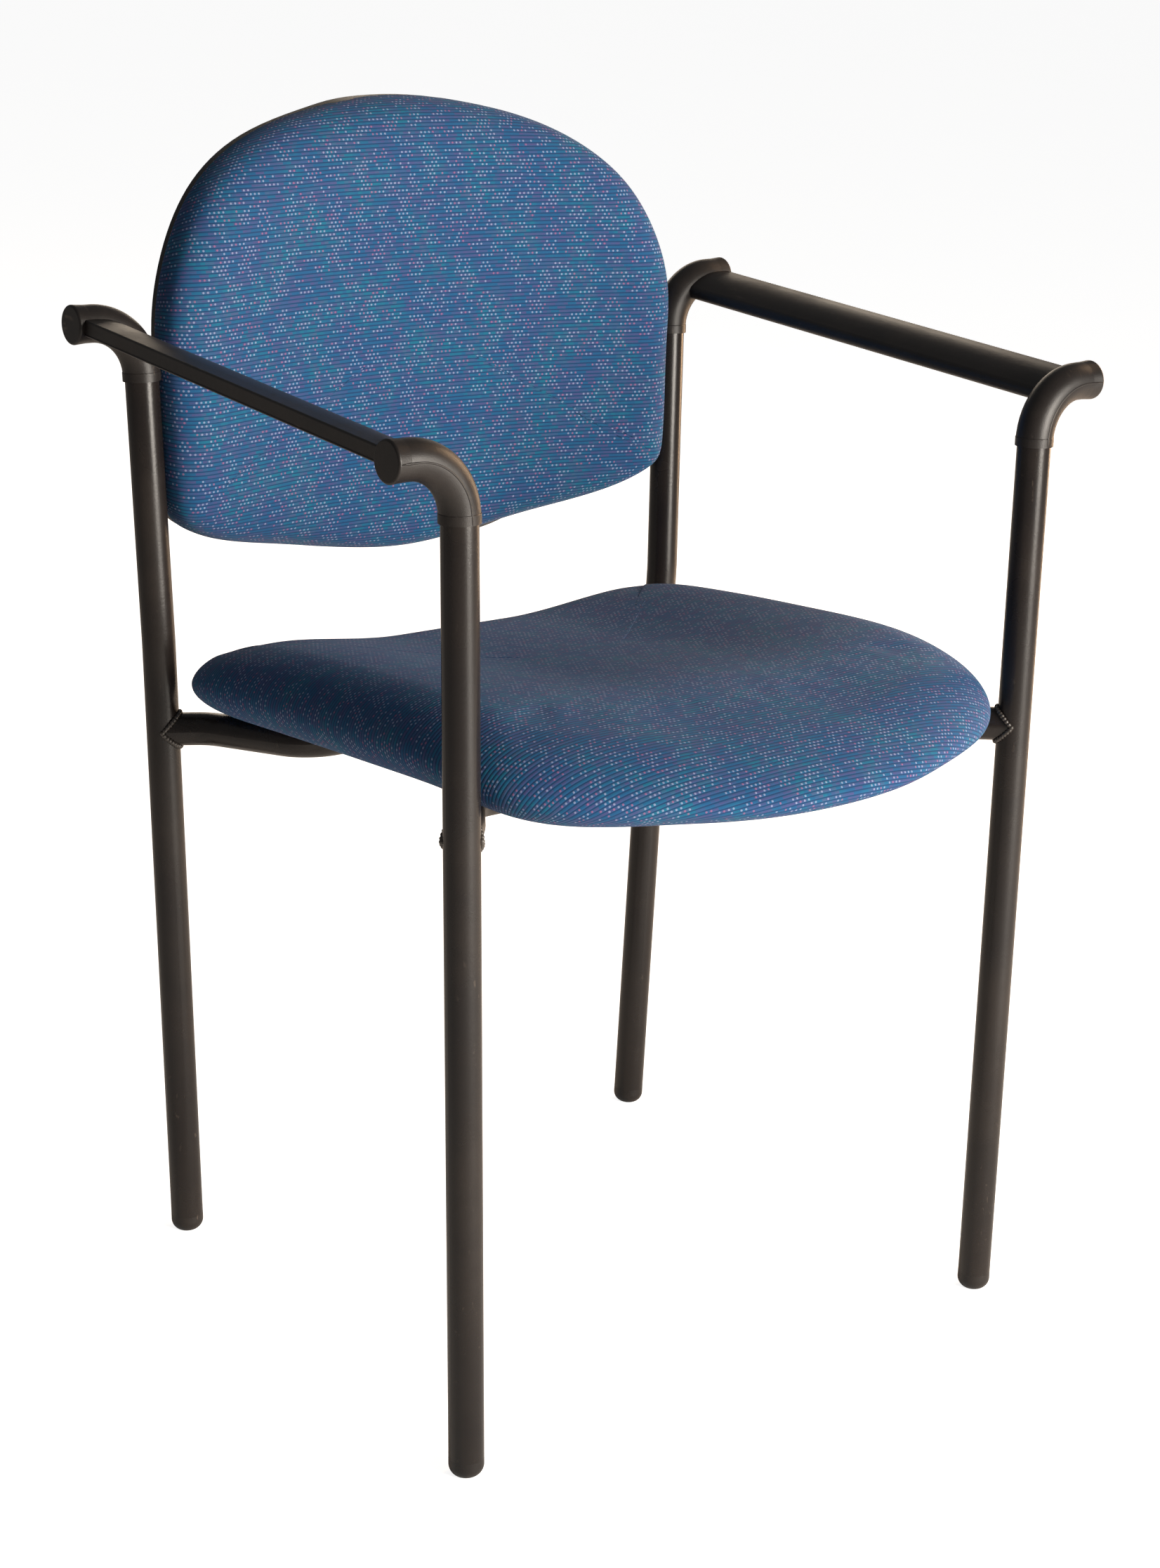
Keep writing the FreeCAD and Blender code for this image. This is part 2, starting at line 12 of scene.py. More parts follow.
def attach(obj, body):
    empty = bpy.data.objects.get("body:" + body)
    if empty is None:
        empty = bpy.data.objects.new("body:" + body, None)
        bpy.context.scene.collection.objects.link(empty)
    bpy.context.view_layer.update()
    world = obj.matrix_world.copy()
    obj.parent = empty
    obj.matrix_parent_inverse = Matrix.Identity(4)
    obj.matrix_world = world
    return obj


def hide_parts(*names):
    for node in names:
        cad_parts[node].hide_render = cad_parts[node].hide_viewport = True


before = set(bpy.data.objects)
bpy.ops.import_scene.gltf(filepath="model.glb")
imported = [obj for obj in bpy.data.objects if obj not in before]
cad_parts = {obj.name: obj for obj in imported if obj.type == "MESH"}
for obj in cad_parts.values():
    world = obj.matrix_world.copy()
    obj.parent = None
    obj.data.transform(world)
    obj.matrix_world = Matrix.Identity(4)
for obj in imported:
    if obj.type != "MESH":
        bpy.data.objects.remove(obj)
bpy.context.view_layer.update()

# Looks of a stacking armchair: painted tube frame, moulded arms, woven upholstery.
# Lengths are in metres, X across the chair, Y from front to back, Z up from the floor.

LOG = logging.getLogger("chair")
MM = 0.001
BODY = "root"
SHIFT_Y = -21.8 * MM         # the chair's frame is centred on Y
CLOTH_MAP = "cloth"          # the map that carries thread coordinates, in metres

# dotted weave: the shares are parts of one, the dot's half sizes parts of a cell and of a row
YARN_PITCH = 0.68 * MM
GROUP_CELLS = 6.0            # cells from one group of dots to the next
GROUP_FILLED = 0.6
GROUPS_MISSING = 0.22
DOTS_MISSING = 0.2
DOTS_COOL = 0.74
DASHES_MISSING = 0.45
DOT_HALF_LENGTH = 0.23
DOT_HALF_WIDTH = 0.27

# ends of the leg axes, drawn for the sitter's left before SHIFT_Y
FRONT_FOOT = np.array([0.2204, -0.1816, 0.0])
FRONT_COLLAR = np.array([0.2302, -0.1425, 0.5947])
REAR_FOOT = np.array([0.2007, 0.1816, 0.0])
REAR_KNEE = np.array([0.2169, 0.2039, 0.429])
REAR_COLLAR = np.array([0.2219, 0.2204, 0.6023])
RAIL_HEIGHT = 0.391          # axis of the rails where the seat plane crosses Y = 0
SEAT_SLOPE = 0.11            # rise of the seat towards the front
TUBE_RADIUS = 11.1 * MM

Array = np.ndarray
Colour = tuple[float, float, float]
Faces = tuple[Array, Array, Array]           # points, quads and triangles
Socket = bpy.types.NodeSocket
Tree = bpy.types.NodeTree


class Side(Enum):
    """The two sides of the chair; the value is the sign of X."""

    LEFT = 1.0
    RIGHT = -1.0


class Part(Enum):
    """Kinds of part that a finish belongs to; the value names the kind in the log."""

    FRAME = "painted_steel"
    WELD = "weld_metal"
    MOULDING = "black_plastic"
    CLOTH = "blue_fabric"
    BOARD = "plywood"
    LINING = "black_lining"
    HARDWARE = "zinc_steel"


# ------------------------------------------------------------------ curves and meshes
def hermite(knots: Array, values: Array, slopes: Array, at: Array) -> Array:
    """Cubic curve through values at knots with given slopes.

    Between two knots a distance h apart the result is the blend
    (2t^3-3t^2+1) a + (t^3-2t^2+t) h m + (3t^2-2t^3) b + (t^3-t^2) h n, where t runs from 0 to 1.

    Args:
        knots: increasing places of the values.
        values: one value or row per knot.
        slopes: one slope or row per knot.
        at: places where the curve is wanted.

    Returns:
        The curve at each place.
    """
    i = np.clip(np.searchsorted(knots, at, side="right") - 1, 0, len(knots) - 2)
    h = knots[i + 1] - knots[i]
    t = np.clip((at - knots[i]) / h, 0.0, 1.0)
    if values.ndim > 1:
        h = h[:, None]
        t = t[:, None]
    a, b, m, n = values[i], values[i + 1], slopes[i], slopes[i + 1]
    start = (2 * t**3 - 3 * t**2 + 1) * a + (t**3 - 2 * t**2 + t) * h * m
    return start + (3 * t**2 - 2 * t**3) * b + (t**3 - t**2) * h * n


def smooth_table(table: Sequence[tuple[float, float]], at: Array) -> Array:
    """Smooth curve through a table of place and value.

    The slope at each row is the weighted mean of the slopes on its two sides.

    Args:
        table: rows of place and value, places increasing.
        at: places where the value is wanted.

    Returns:
        The value at each place.
    """
    rows = np.array(table)
    slopes = np.gradient(rows[:, 1], rows[:, 0])
    flat = hermite(rows[:, 0], rows[:, 1], slopes, np.asarray(at, float).ravel())
    return flat.reshape(np.shape(at))


def closed_curve(points: Array, samples: int) -> Array:
    """Closed curve with continuous curvature through points.

    With segment lengths h, the slopes m solve h_i m_(i-1) + 2 (h_(i-1) + h_i) m_i + h_(i-1) m_(i+1)
    = 3 (h_i d_(i-1) + h_(i-1) d_i), where d is the chord slope of a segment.

    Args:
        points: rows of x and y, in order round the curve.
        samples: number of points wanted.

    Returns:
        Points evenly spread along the parameter.
    """
    count = len(points)
    chord = np.roll(points, -1, axis=0) - points
    h = np.linalg.norm(chord, axis=1)
    before = np.roll(h, 1)
    d = chord / h[:, None]
    system = np.diag(2.0 * (before + h))
    index = np.arange(count)
    system[index, index - 1] += h
    system[index, (index + 1) % count] += before
    right = 3.0 * (h[:, None] * np.roll(d, 1, axis=0) + before[:, None] * d)
    slopes = np.linalg.solve(system, right)
    knots = np.concatenate(([0.0], np.cumsum(h)))
    at = np.linspace(0.0, knots[-1], samples, endpoint=False)
    closed = np.vstack((points, points[:1]))
    return hermite(knots, closed, np.vstack((slopes, slopes[:1])), at)


def unit(v: Array) -> Array:
    """The same direction with length one, along the last axis."""
    return v / np.linalg.norm(v, axis=-1, keepdims=True)


def bend(before: Array, corner: Array, after: Array, radius: float, samples: int) -> Array:
    """Circular arc that rounds a corner between two runs.

    The arc's centre lies on the halving line at radius / sin(half angle) from the corner, and a
    point is centre + radius (cos a * start + sin a * across) for a from 0 to the turning angle.

    Args:
        before: a point on the run that arrives.
        corner: where the runs would meet.
        after: a point on the run that leaves.
        radius: radius of the arc.
        samples: number of points.

    Returns:
        The points of the arc.
    """
    arriving, leaving = unit(before - corner), unit(after - corner)
    half = 0.5 * math.acos(float(np.clip(arriving @ leaving, -1.0, 1.0)))
    centre = corner + unit(arriving + leaving) * radius / math.sin(half)
    start = unit(corner + arriving * radius / math.tan(half) - centre)
    end = unit(corner + leaving * radius / math.tan(half) - centre)
    across = unit(end - start * (start @ end))
    angle = np.linspace(0.0, math.acos(float(np.clip(start @ end, -1.0, 1.0))), samples)[:, None]
    return centre + radius * (np.cos(angle) * start + np.sin(angle) * across)


def grid_quads(rows: int, columns: int, wrap_rows: bool = False, wrap_columns: bool = False) -> Array:
    """Quads of a grid whose point (i, j) has number i * columns + j."""
    i = np.arange(rows if wrap_rows else rows - 1)
    j = np.arange(columns if wrap_columns else columns - 1)
    i, j = (a.ravel() for a in np.meshgrid(i, j, indexing="ij"))
    ni, nj = (i + 1) % rows, (j + 1) % columns
    return np.stack([i * columns + j, ni * columns + j, ni * columns + nj, i * columns + nj], axis=1)


def new_piece(name: str, points: Array, quads: Array, triangles: Array | None = None) -> bpy.types.Object:
    """Smooth-shaded mesh piece at the origin from points and faces.

    Args:
        name: name of the piece.
        points: rows of x, y and z in metres.
        quads: rows of four point numbers, turning left seen from outside.
        triangles: rows of three point numbers, if there are any.

    Returns:
        The new object, linked to the scene.
    """
    triangles = np.zeros((0, 3), int) if triangles is None else triangles
    corners = np.concatenate((quads.ravel(), triangles.ravel())).astype(np.int32)
    starts = np.concatenate((np.arange(len(quads)) * 4, len(quads) * 4 + np.arange(len(triangles)) * 3))
    mesh = bpy.data.meshes.new(name)
    mesh.vertices.add(len(points))
    mesh.vertices.foreach_set("co", np.asarray(points, np.float32).ravel())
    mesh.loops.add(len(corners))
    mesh.loops.foreach_set("vertex_index", corners)
    mesh.polygons.add(len(starts))
    mesh.polygons.foreach_set("loop_start", starts.astype(np.int32))
    mesh.polygons.foreach_set("use_smooth", np.ones(len(starts), bool))
    mesh.update(calc_edges=True)
    mesh.validate()
    piece = bpy.data.objects.new(name, mesh)
    bpy.context.scene.collection.objects.link(piece)
    return piece


def set_cloth_map(piece: bpy.types.Object, threads: Array) -> None:
    """Stores thread coordinates, one row of u and v per point, as the cloth map."""
    mesh = piece.data
    corner = np.empty(len(mesh.loops), np.int32)
    mesh.loops.foreach_get("vertex_index", corner)
    layer = mesh.uv_layers.new(name=CLOTH_MAP)
    layer.uv.foreach_set("vector", threads[corner].astype(np.float32).ravel())


def end_fans(count: int, sides: int) -> Array:
    """Triangles that close the first and the last ring of a bar.

    Args:
        count: number of points of the bar's rings; its two end points follow them.
        sides: number of points in a ring.

    Returns:
        The triangles of both ends.
    """
    j = np.arange(sides)
    following = (j + 1) % sides
    last = count - sides
    low = np.stack([np.full(sides, count), following, j], axis=1)
    high = np.stack([np.full(sides, count + 1), last + j, last + following], axis=1)
    return np.vstack((low, high))


def swept(path: Array, radius: Array, flat: float, out: Array, sides: int, closed: bool) -> Faces:
    """Bar of oval section along a path.

    A point is path + radius (cos a * out + flat * sin a * side), where side is square to the path
    and to out.

    Args:
        path: points of the centre line.
        radius: radius at each point.
        flat: ratio of the second half axis to the first.
        out: direction of the first half axis at each point.
        sides: number of points round the section.
        closed: whether the path joins its own start.

    Returns:
        Points, quads and triangles.
    """
    ahead = np.roll(path, -1, axis=0) - np.roll(path, 1, axis=0)
    if not closed:
        ahead = np.gradient(path, axis=0)
    ahead = unit(ahead)
    first = unit(out - ahead * np.sum(out * ahead, axis=1, keepdims=True))
    second = np.cross(ahead, first)
    angle = np.linspace(0.0, 2.0 * math.pi, sides, endpoint=False)[None, :, None]
    ring = np.cos(angle) * first[:, None] + flat * np.sin(angle) * second[:, None]
    points = (path[:, None] + radius[:, None, None] * ring).reshape(-1, 3)
    quads = grid_quads(len(path), sides, wrap_rows=closed, wrap_columns=True)[:, ::-1]
    if closed:
        return points, quads, np.zeros((0, 3), int)
    return np.vstack((points, path[:1], path[-1:])), quads, end_fans(len(points), sides)


def joined(parts: Sequence[Faces]) -> Faces:
    """Several sets of points, quads and triangles as one set."""
    starts = np.cumsum([0] + [len(p) for p, _, _ in parts[:-1]])
    points = np.vstack([p for p, _, _ in parts])
    quads = np.vstack([q + s for (_, q, _), s in zip(parts, starts)])
    triangles = np.vstack([t + s for (_, _, t), s in zip(parts, starts)])
    return points, quads.astype(int), triangles.astype(int)


def mirrored(points: Array, quads: Array, triangles: Array) -> Faces:
    """The same faces on the other side of the chair, still facing outwards."""
    return points * np.array([-1.0, 1.0, 1.0]), quads[:, ::-1], triangles[:, ::-1]


def on_side(side: Side, parts: Faces) -> Faces:
    """Faces drawn for the sitter's left, moved to the side asked for."""
    return parts if side is Side.LEFT else mirrored(*parts)


# ------------------------------------------------------------------ node trees
class Nodes:
    """Short way to write a node tree."""

    def __init__(self, tree: Tree) -> None:
        """Starts on a tree, which it empties."""
        self.tree = tree
        tree.nodes.clear()

    def add(self, kind: str, inputs: dict | None = None, **settings: object) -> bpy.types.Node:
        """Adds a node.

        Args:
            kind: the node's type.
            inputs: values or sockets by input name or number.
            settings: properties of the node.

        Returns:
            The node.
        """
        node = self.tree.nodes.new(kind)
        for name, value in settings.items():
            setattr(node, name, value)
        for key, value in (inputs or {}).items():
            self.feed(node.inputs[key], value)
        return node

    def feed(self, socket: Socket, value: object) -> None:
        """Links a socket to another, or sets its value."""
        if isinstance(value, Socket):
            self.tree.links.new(value, socket)
        elif isinstance(value, tuple) and len(value) == 3 and socket.type == "RGBA":
            socket.default_value = (*value, 1.0)
        else:
            socket.default_value = value

    def math(self, operation: str, a: object, b: object = 0.0) -> Socket:
        """Result of a Math node."""
        return self.add("ShaderNodeMath", {0: a, 1: b}, operation=operation).outputs[0]

    def ramp(self, value: object, low: float, high: float, out: tuple = (0.0, 1.0)) -> Socket:
        """Value taken smoothly from low..high to the two numbers of out."""
        keys = {"Value": value, "From Min": low, "From Max": high, "To Min": out[0], "To Max": out[1]}
        node = self.add("ShaderNodeMapRange", keys, interpolation_type="SMOOTHSTEP")
        return node.outputs["Result"]

    def blend(self, amount: object, a: object, b: object) -> Socket:
        """Two colours mixed by an amount."""
        node = self.add("ShaderNodeMix", data_type="RGBA")
        self.feed(node.inputs[0], amount)
        self.feed(node.inputs[6], a)
        self.feed(node.inputs[7], b)
        return node.outputs[2]

    def noise(self, where: object, scale: object, detail: float = 3.0, rough: float = 0.5) -> Socket:
        """Value of a noise texture."""
        keys = {"Vector": where, "Scale": scale, "Detail": detail, "Roughness": rough}
        return self.add("ShaderNodeTexNoise", keys).outputs[0]

    def chance(self, a: object, b: object, seed: float) -> Socket:
        """Random number from 0 to 1 for each pair of whole numbers."""
        place = self.add("ShaderNodeCombineXYZ", {0: a, 1: b, 2: seed}).outputs[0]
        return self.add("ShaderNodeTexWhiteNoise", {"Vector": place}, noise_dimensions="3D").outputs[0]

    def stretched(self, where: object, scale: tuple[float, float, float]) -> Socket:
        """Coordinates scaled along each axis."""
        return self.add("ShaderNodeMapping", {"Vector": where, "Scale": scale}).outputs[0]


SOCKETS = {"v": "NodeSocketVector", "f": "NodeSocketFloat", "c": "NodeSocketColor"}


def new_group(name: str, inputs: dict, outputs: dict) -> tuple[Nodes, bpy.types.Node, bpy.types.Node]:
    """Empty shader node group.

    Args:
        name: name of the group.
        inputs: kind of socket, v, f or c, by name.
        outputs: the same for what it gives.

    Returns:
        The writer, the group's input node and its output node.
    """
    tree = bpy.data.node_groups.new(name, "ShaderNodeTree")
    for label, kind in inputs.items():
        tree.interface.new_socket(name=label, in_out="INPUT", socket_type=SOCKETS[kind])
    for label, kind in outputs.items():
        tree.interface.new_socket(name=label, in_out="OUTPUT", socket_type=SOCKETS[kind])
    nodes = Nodes(tree)
    return nodes, nodes.add("NodeGroupInput"), nodes.add("NodeGroupOutput")


def surface_grain_group() -> Tree:
    """Fine unevenness of a coated or moulded skin: two sizes of noise added up."""
    inputs = {"Place": "v", "Size": "f", "Coarse": "f"}
    nodes, given, result = new_group("surface_grain", inputs, {"Height": "f"})
    fine = nodes.noise(given.outputs["Place"], given.outputs["Size"], 4.0, 0.6)
    broad = nodes.noise(given.outputs["Place"], nodes.math("MULTIPLY", given.outputs["Size"], 0.12), 2.0)
    mixed = nodes.math("MULTIPLY", broad, given.outputs["Coarse"])
    nodes.feed(result.inputs["Height"], nodes.math("ADD", fine, mixed))
    return nodes.tree


def handling_group() -> Tree:
    """Marks of use: a mask of hair scratches and one of smears and dust."""
    outputs = {"Scratches": "f", "Smears": "f"}
    nodes, given, result = new_group("handling_marks", {"Place": "v", "Amount": "f"}, outputs)
    place = given.outputs["Place"]
    lines = nodes.noise(nodes.stretched(place, (1.0, 0.12, 0.3)), 420.0, 2.0)
    patches = nodes.noise(place, 22.0, 3.0, 0.6)
    thin = nodes.ramp(lines, 0.66, 0.74)
    where = nodes.ramp(patches, 0.5, 0.68)
    scratches = nodes.math("MULTIPLY", nodes.math("MULTIPLY", thin, where), given.outputs["Amount"])
    cloudy = nodes.ramp(nodes.noise(place, 9.0, 5.0, 0.65), 0.42, 0.72)
    smears = nodes.math("MULTIPLY", cloudy, given.outputs["Amount"])
    nodes.feed(result.inputs["Scratches"], scratches)
    nodes.feed(result.inputs["Smears"], smears)
    return nodes.tree


def woven_group() -> Tree:
    """Ribbed weave with rows of light dots and coloured dashes.

    The rows run along u. Row number is the whole part of v / row pitch, and each row is divided
    into cells of one dot pitch, moved by half a cell in every second row. Chance numbers per cell
    and per run of cells say which dots and dashes are there.
    """
    inputs = {
        "Threads": "v", "Row Pitch": "f", "Dot Pitch": "f",
        "Ground": "c", "Second Ground": "c", "Groove": "c",
        "Dot": "c", "Warm Dot": "c", "Dash": "c", "Dots": "f", "Dashes": "f",
    }
    outputs = {"Colour": "c", "Height": "f", "Light Yarn": "f"}
    nodes, given, result = new_group("dotted_weave", inputs, outputs)
    taken = given.outputs
    m = nodes.math
    parts = nodes.add("ShaderNodeSeparateXYZ", {0: taken["Threads"]})
    rows = m("DIVIDE", parts.outputs[1], taken["Row Pitch"])
    row = m("FLOOR", rows)
    in_row = m("FRACT", rows)
    moved = m("ADD", m("DIVIDE", parts.outputs[0], taken["Dot Pitch"]), m("MULTIPLY", row, 0.5))
    cell = m("FLOOR", moved)
    in_cell = m("FRACT", moved)
    rib = m("SINE", m("MULTIPLY", in_row, math.pi))

    offset = m("FLOOR", m("MULTIPLY", nodes.chance(row, 3.0, 5.0), 10.0 * GROUP_CELLS))
    group = m("DIVIDE", m("ADD", cell, offset), GROUP_CELLS)
    grouped = m("LESS_THAN", m("FRACT", group), GROUP_FILLED)
    kept = m("GREATER_THAN", nodes.chance(m("FLOOR", group), row, 1.0), GROUPS_MISSING)
    present = m("GREATER_THAN", nodes.chance(cell, row, 2.0), DOTS_MISSING)
    wanted = m("MULTIPLY", m("MULTIPLY", grouped, kept), present)
    across = m("DIVIDE", m("SUBTRACT", in_cell, 0.5), DOT_HALF_LENGTH)
    along = m("DIVIDE", m("SUBTRACT", in_row, 0.5), DOT_HALF_WIDTH)
    distance = m("ADD", m("MULTIPLY", across, across), m("MULTIPLY", along, along))
    dot = m("MULTIPLY", m("MULTIPLY", nodes.ramp(distance, 1.5, 0.5), wanted), taken["Dots"])

    dash_run = m("FLOOR", m("DIVIDE", m("ADD", cell, m("MULTIPLY", nodes.chance(row, 9.0, 6.0), 5.0)), 2.0))
    dashed = m("GREATER_THAN", nodes.chance(dash_run, row, 4.0), DASHES_MISSING)
    off_middle = m("ABSOLUTE", m("SUBTRACT", in_row, 0.5))
    dash = m("MULTIPLY", m("MULTIPLY", nodes.ramp(off_middle, 0.36, 0.2), dashed), taken["Dashes"])
    dash = m("MULTIPLY", dash, nodes.ramp(nodes.chance(cell, row, 8.0), 0.1, 0.9, (0.45, 1.0)))

    broad = nodes.noise(taken["Threads"], 26.0, 2.0)
    mottled = nodes.ramp(nodes.chance(cell, row, 7.0), 0.1, 0.9, (0.25, 1.0))
    teal = m("MULTIPLY", nodes.ramp(broad, 0.4, 0.62), mottled)
    ground = nodes.blend(teal, taken["Ground"], taken["Second Ground"])
    # painted shade: the ground darkens towards the groove shade colour where the ribs dip
    ground = nodes.blend(nodes.ramp(rib, 0.72, 0.1), ground, taken["Groove"])
    colour = nodes.blend(dash, ground, taken["Dash"])
    warm = m("GREATER_THAN", nodes.chance(cell, row, 3.0), DOTS_COOL)
    colour = nodes.blend(dot, colour, nodes.blend(warm, taken["Dot"], taken["Warm Dot"]))

    twist = m("ADD", parts.outputs[0], m("MULTIPLY", parts.outputs[1], 0.35))
    yarn = m("SINE", m("MULTIPLY", twist, 2.0 * math.pi / YARN_PITCH))
    height = m("ADD", m("MULTIPLY", rib, 0.7), m("MULTIPLY", yarn, 0.1))
    nodes.feed(result.inputs["Height"], m("ADD", height, m("MULTIPLY", dot, 0.45)))
    nodes.feed(result.inputs["Colour"], colour)
    nodes.feed(result.inputs["Light Yarn"], dot)
    return nodes.tree


class Effects:
    """The node groups that finishes share, each built once."""

    def __init__(self) -> None:
        """Builds the groups."""
        self.grain = surface_grain_group()
        self.handling = handling_group()
        self.weave = woven_group()


def use(nodes: Nodes, group: Tree, inputs: dict) -> bpy.types.Node:
    """Places a group in a material with its own values."""
    return nodes.add("ShaderNodeGroup", inputs, node_tree=group)


def new_material(name: str) -> tuple[bpy.types.Material, Nodes, bpy.types.Node]:
    """Material with an empty tree, a Principled shader and an output.

    Returns:
        The material, the writer of its tree and the shader node.
    """
    material = bpy.data.materials.new(name)
    material.use_nodes = True
    nodes = Nodes(material.node_tree)
    shader = nodes.add("ShaderNodeBsdfPrincipled")
    nodes.add("ShaderNodeOutputMaterial", {"Surface": shader.outputs[0]})
    return material, nodes, shader


@dataclass(frozen=True)
class CoatedFinish:
    """Hard skin such as paint, moulded plastic or plated metal.

    Colour moves between two tones, marks of use lighten it and roughen it, and grain gives the bump.
    """

    name: str
    colour: Colour
    second: Colour
    worn: Colour
    roughness: float
    rough_spread: float = 0.08
    metallic: float = 0.0
    specular: float = 0.5
    grain_size: float = 900.0
    grain_coarse: float = 0.8
    grain_depth: float = 0.00012
    marks: float = 0.6

    def build(self, effects: Effects) -> bpy.types.Material:
        """Makes the material.

        Args:
            effects: the shared groups.

        Returns:
            The material.
        """
        material, nodes, shader = new_material(self.name)
        place = nodes.add("ShaderNodeTexCoord").outputs["Object"]
        marks = use(nodes, effects.handling, {"Place": place, "Amount": self.marks})
        tone = nodes.ramp(nodes.noise(place, 14.0, 4.0, 0.6), 0.35, 0.68)
        colour = nodes.blend(tone, self.colour, self.second)
        colour = nodes.blend(nodes.math("MULTIPLY", marks.outputs["Smears"], 0.25), colour, self.worn)
        colour = nodes.blend(marks.outputs["Scratches"], colour, self.worn)
        roughest = self.roughness + self.rough_spread
        rough = nodes.ramp(marks.outputs["Smears"], 0.0, 0.7, (self.roughness, roughest))
        size = {"Place": place, "Size": self.grain_size, "Coarse": self.grain_coarse}
        grain = use(nodes, effects.grain, size)
        keys = {"Strength": 0.6, "Distance": self.grain_depth, "Height": grain.outputs["Height"]}
        bump = nodes.add("ShaderNodeBump", keys)
        nodes.feed(shader.inputs["Base Color"], colour)
        nodes.feed(shader.inputs["Roughness"], rough)
        nodes.feed(shader.inputs["Metallic"], self.metallic)
        nodes.feed(shader.inputs["Specular IOR Level"], self.specular)
        nodes.feed(shader.inputs["Normal"], bump.outputs[0])
        return material


@dataclass(frozen=True)
class WovenFinish:
    """Upholstery cloth: dotted weave with a soft sheen."""

    name: str
    ground: Colour
    second: Colour
    # colour of the painted shade in the grooves between the ribs
    groove: Colour
    dot: Colour
    warm_dot: Colour
    dash: Colour
    dots: float = 0.55
    dashes: float = 0.45
    row_pitch: float = 2.6 * MM
    dot_pitch: float = 3.3 * MM
    sheen: float = 0.12
    sheen_tint: Colour = (0.55, 0.68, 1.0)
    depth: float = 0.0005

    def build(self, effects: Effects) -> bpy.types.Material:
        """Makes the material.

        Args:
            effects: the shared groups.

        Returns:
            The material.
        """
        material, nodes, shader = new_material(self.name)
        threads = nodes.add("ShaderNodeUVMap", uv_map=CLOTH_MAP).outputs[0]
        weave = use(nodes, effects.weave, {
            "Threads": threads, "Row Pitch": self.row_pitch, "Dot Pitch": self.dot_pitch,
            "Ground": self.ground, "Second Ground": self.second, "Groove": self.groove,
            "Dot": self.dot, "Warm Dot": self.warm_dot, "Dash": self.dash,
            "Dots": self.dots, "Dashes": self.dashes,
        })
        keys = {"Strength": 0.55, "Distance": self.depth, "Height": weave.outputs["Height"]}
        bump = nodes.add("ShaderNodeBump", keys)
        nodes.feed(shader.inputs["Base Color"], weave.outputs["Colour"])
        rough = nodes.ramp(weave.outputs["Light Yarn"], 0.0, 1.0, (0.86, 0.62))
        nodes.feed(shader.inputs["Roughness"], rough)
        nodes.feed(shader.inputs["Specular IOR Level"], 0.25)
        nodes.feed(shader.inputs["Sheen Weight"], self.sheen)
        nodes.feed(shader.inputs["Sheen Roughness"], 0.45)
        nodes.feed(shader.inputs["Sheen Tint"], self.sheen_tint)
        nodes.feed(shader.inputs["Normal"], bump.outputs[0])
        return material


@dataclass(frozen=True)
class FibreFinish:
    """Wood ply or bonded fibre: streaks along one axis over a base tone."""

    name: str
    colour: Colour
    streak: Colour
    stretch: tuple[float, float, float]
    size: float
    roughness: float
    depth: float

    def build(self, effects: Effects) -> bpy.types.Material:
        """Makes the material.

        Args:
            effects: the shared groups.

        Returns:
            The material.
        """
        material, nodes, shader = new_material(self.name)
        place = nodes.add("ShaderNodeTexCoord").outputs["Object"]
        streaks = nodes.noise(nodes.stretched(place, self.stretch), self.size, 5.0, 0.65)
        colour = nodes.blend(nodes.ramp(streaks, 0.35, 0.65), self.colour, self.streak)
        grain = use(nodes, effects.grain, {"Place": place, "Size": self.size * 1.4, "Coarse": 0.5})
        height = nodes.math("ADD", grain.outputs["Height"], streaks)
        bump = nodes.add("ShaderNodeBump", {"Strength": 0.5, "Distance": self.depth, "Height": height})
        nodes.feed(shader.inputs["Base Color"], colour)
        rough = nodes.ramp(streaks, 0.2, 0.8, (self.roughness, self.roughness + 0.1))
        nodes.feed(shader.inputs["Roughness"], rough)
        nodes.feed(shader.inputs["Normal"], bump.outputs[0])
        return material


FINISHES = {
    Part.FRAME: CoatedFinish(
        "frame_paint", (0.011, 0.0085, 0.0080), (0.016, 0.0120, 0.0105), (0.09, 0.07, 0.055),
        0.26, 0.12,
        specular=0.42, grain_size=700.0, grain_depth=0.00010, marks=0.45,
    ),
    Part.MOULDING: CoatedFinish(
        "moulded_plastic", (0.012, 0.0100, 0.0098), (0.019, 0.0155, 0.0140), (0.11, 0.085, 0.068),
        0.38, 0.14,
        specular=0.4, grain_size=1600.0, grain_depth=0.00016, marks=0.6,
    ),
    Part.WELD: CoatedFinish(
        "painted_weld", (0.028, 0.024, 0.022), (0.05, 0.042, 0.036), (0.2, 0.17, 0.14), 0.26, 0.14,
        specular=0.6, grain_size=500.0, grain_coarse=1.4, grain_depth=0.0003, marks=0.9,
    ),
    Part.HARDWARE: CoatedFinish(
        "zinc_plating", (0.55, 0.55, 0.53), (0.62, 0.60, 0.55), (0.42, 0.40, 0.38), 0.32, 0.16,
        metallic=1.0, grain_size=1200.0, grain_depth=0.00005, marks=0.8,
    ),
    Part.CLOTH: WovenFinish(
        # third colour: painted shade in the grooves between the ribs
        "dotted_upholstery", (0.012, 0.088, 0.215), (0.009, 0.130, 0.225), (0.011, 0.038, 0.115),
        (0.34, 0.38, 0.58), (0.38, 0.13, 0.25), (0.11, 0.040, 0.16),
    ),
    Part.BOARD: FibreFinish(
        "ply_board", (0.40, 0.27, 0.15), (0.28, 0.17, 0.09), (1.0, 9.0, 40.0), 18.0, 0.6, 0.0003,
    ),
    Part.LINING: FibreFinish(
        "bonded_lining", (0.016, 0.016, 0.017), (0.035, 0.034, 0.036), (1.0, 1.0, 1.0),
        420.0, 0.85, 0.0004,
    ),
}


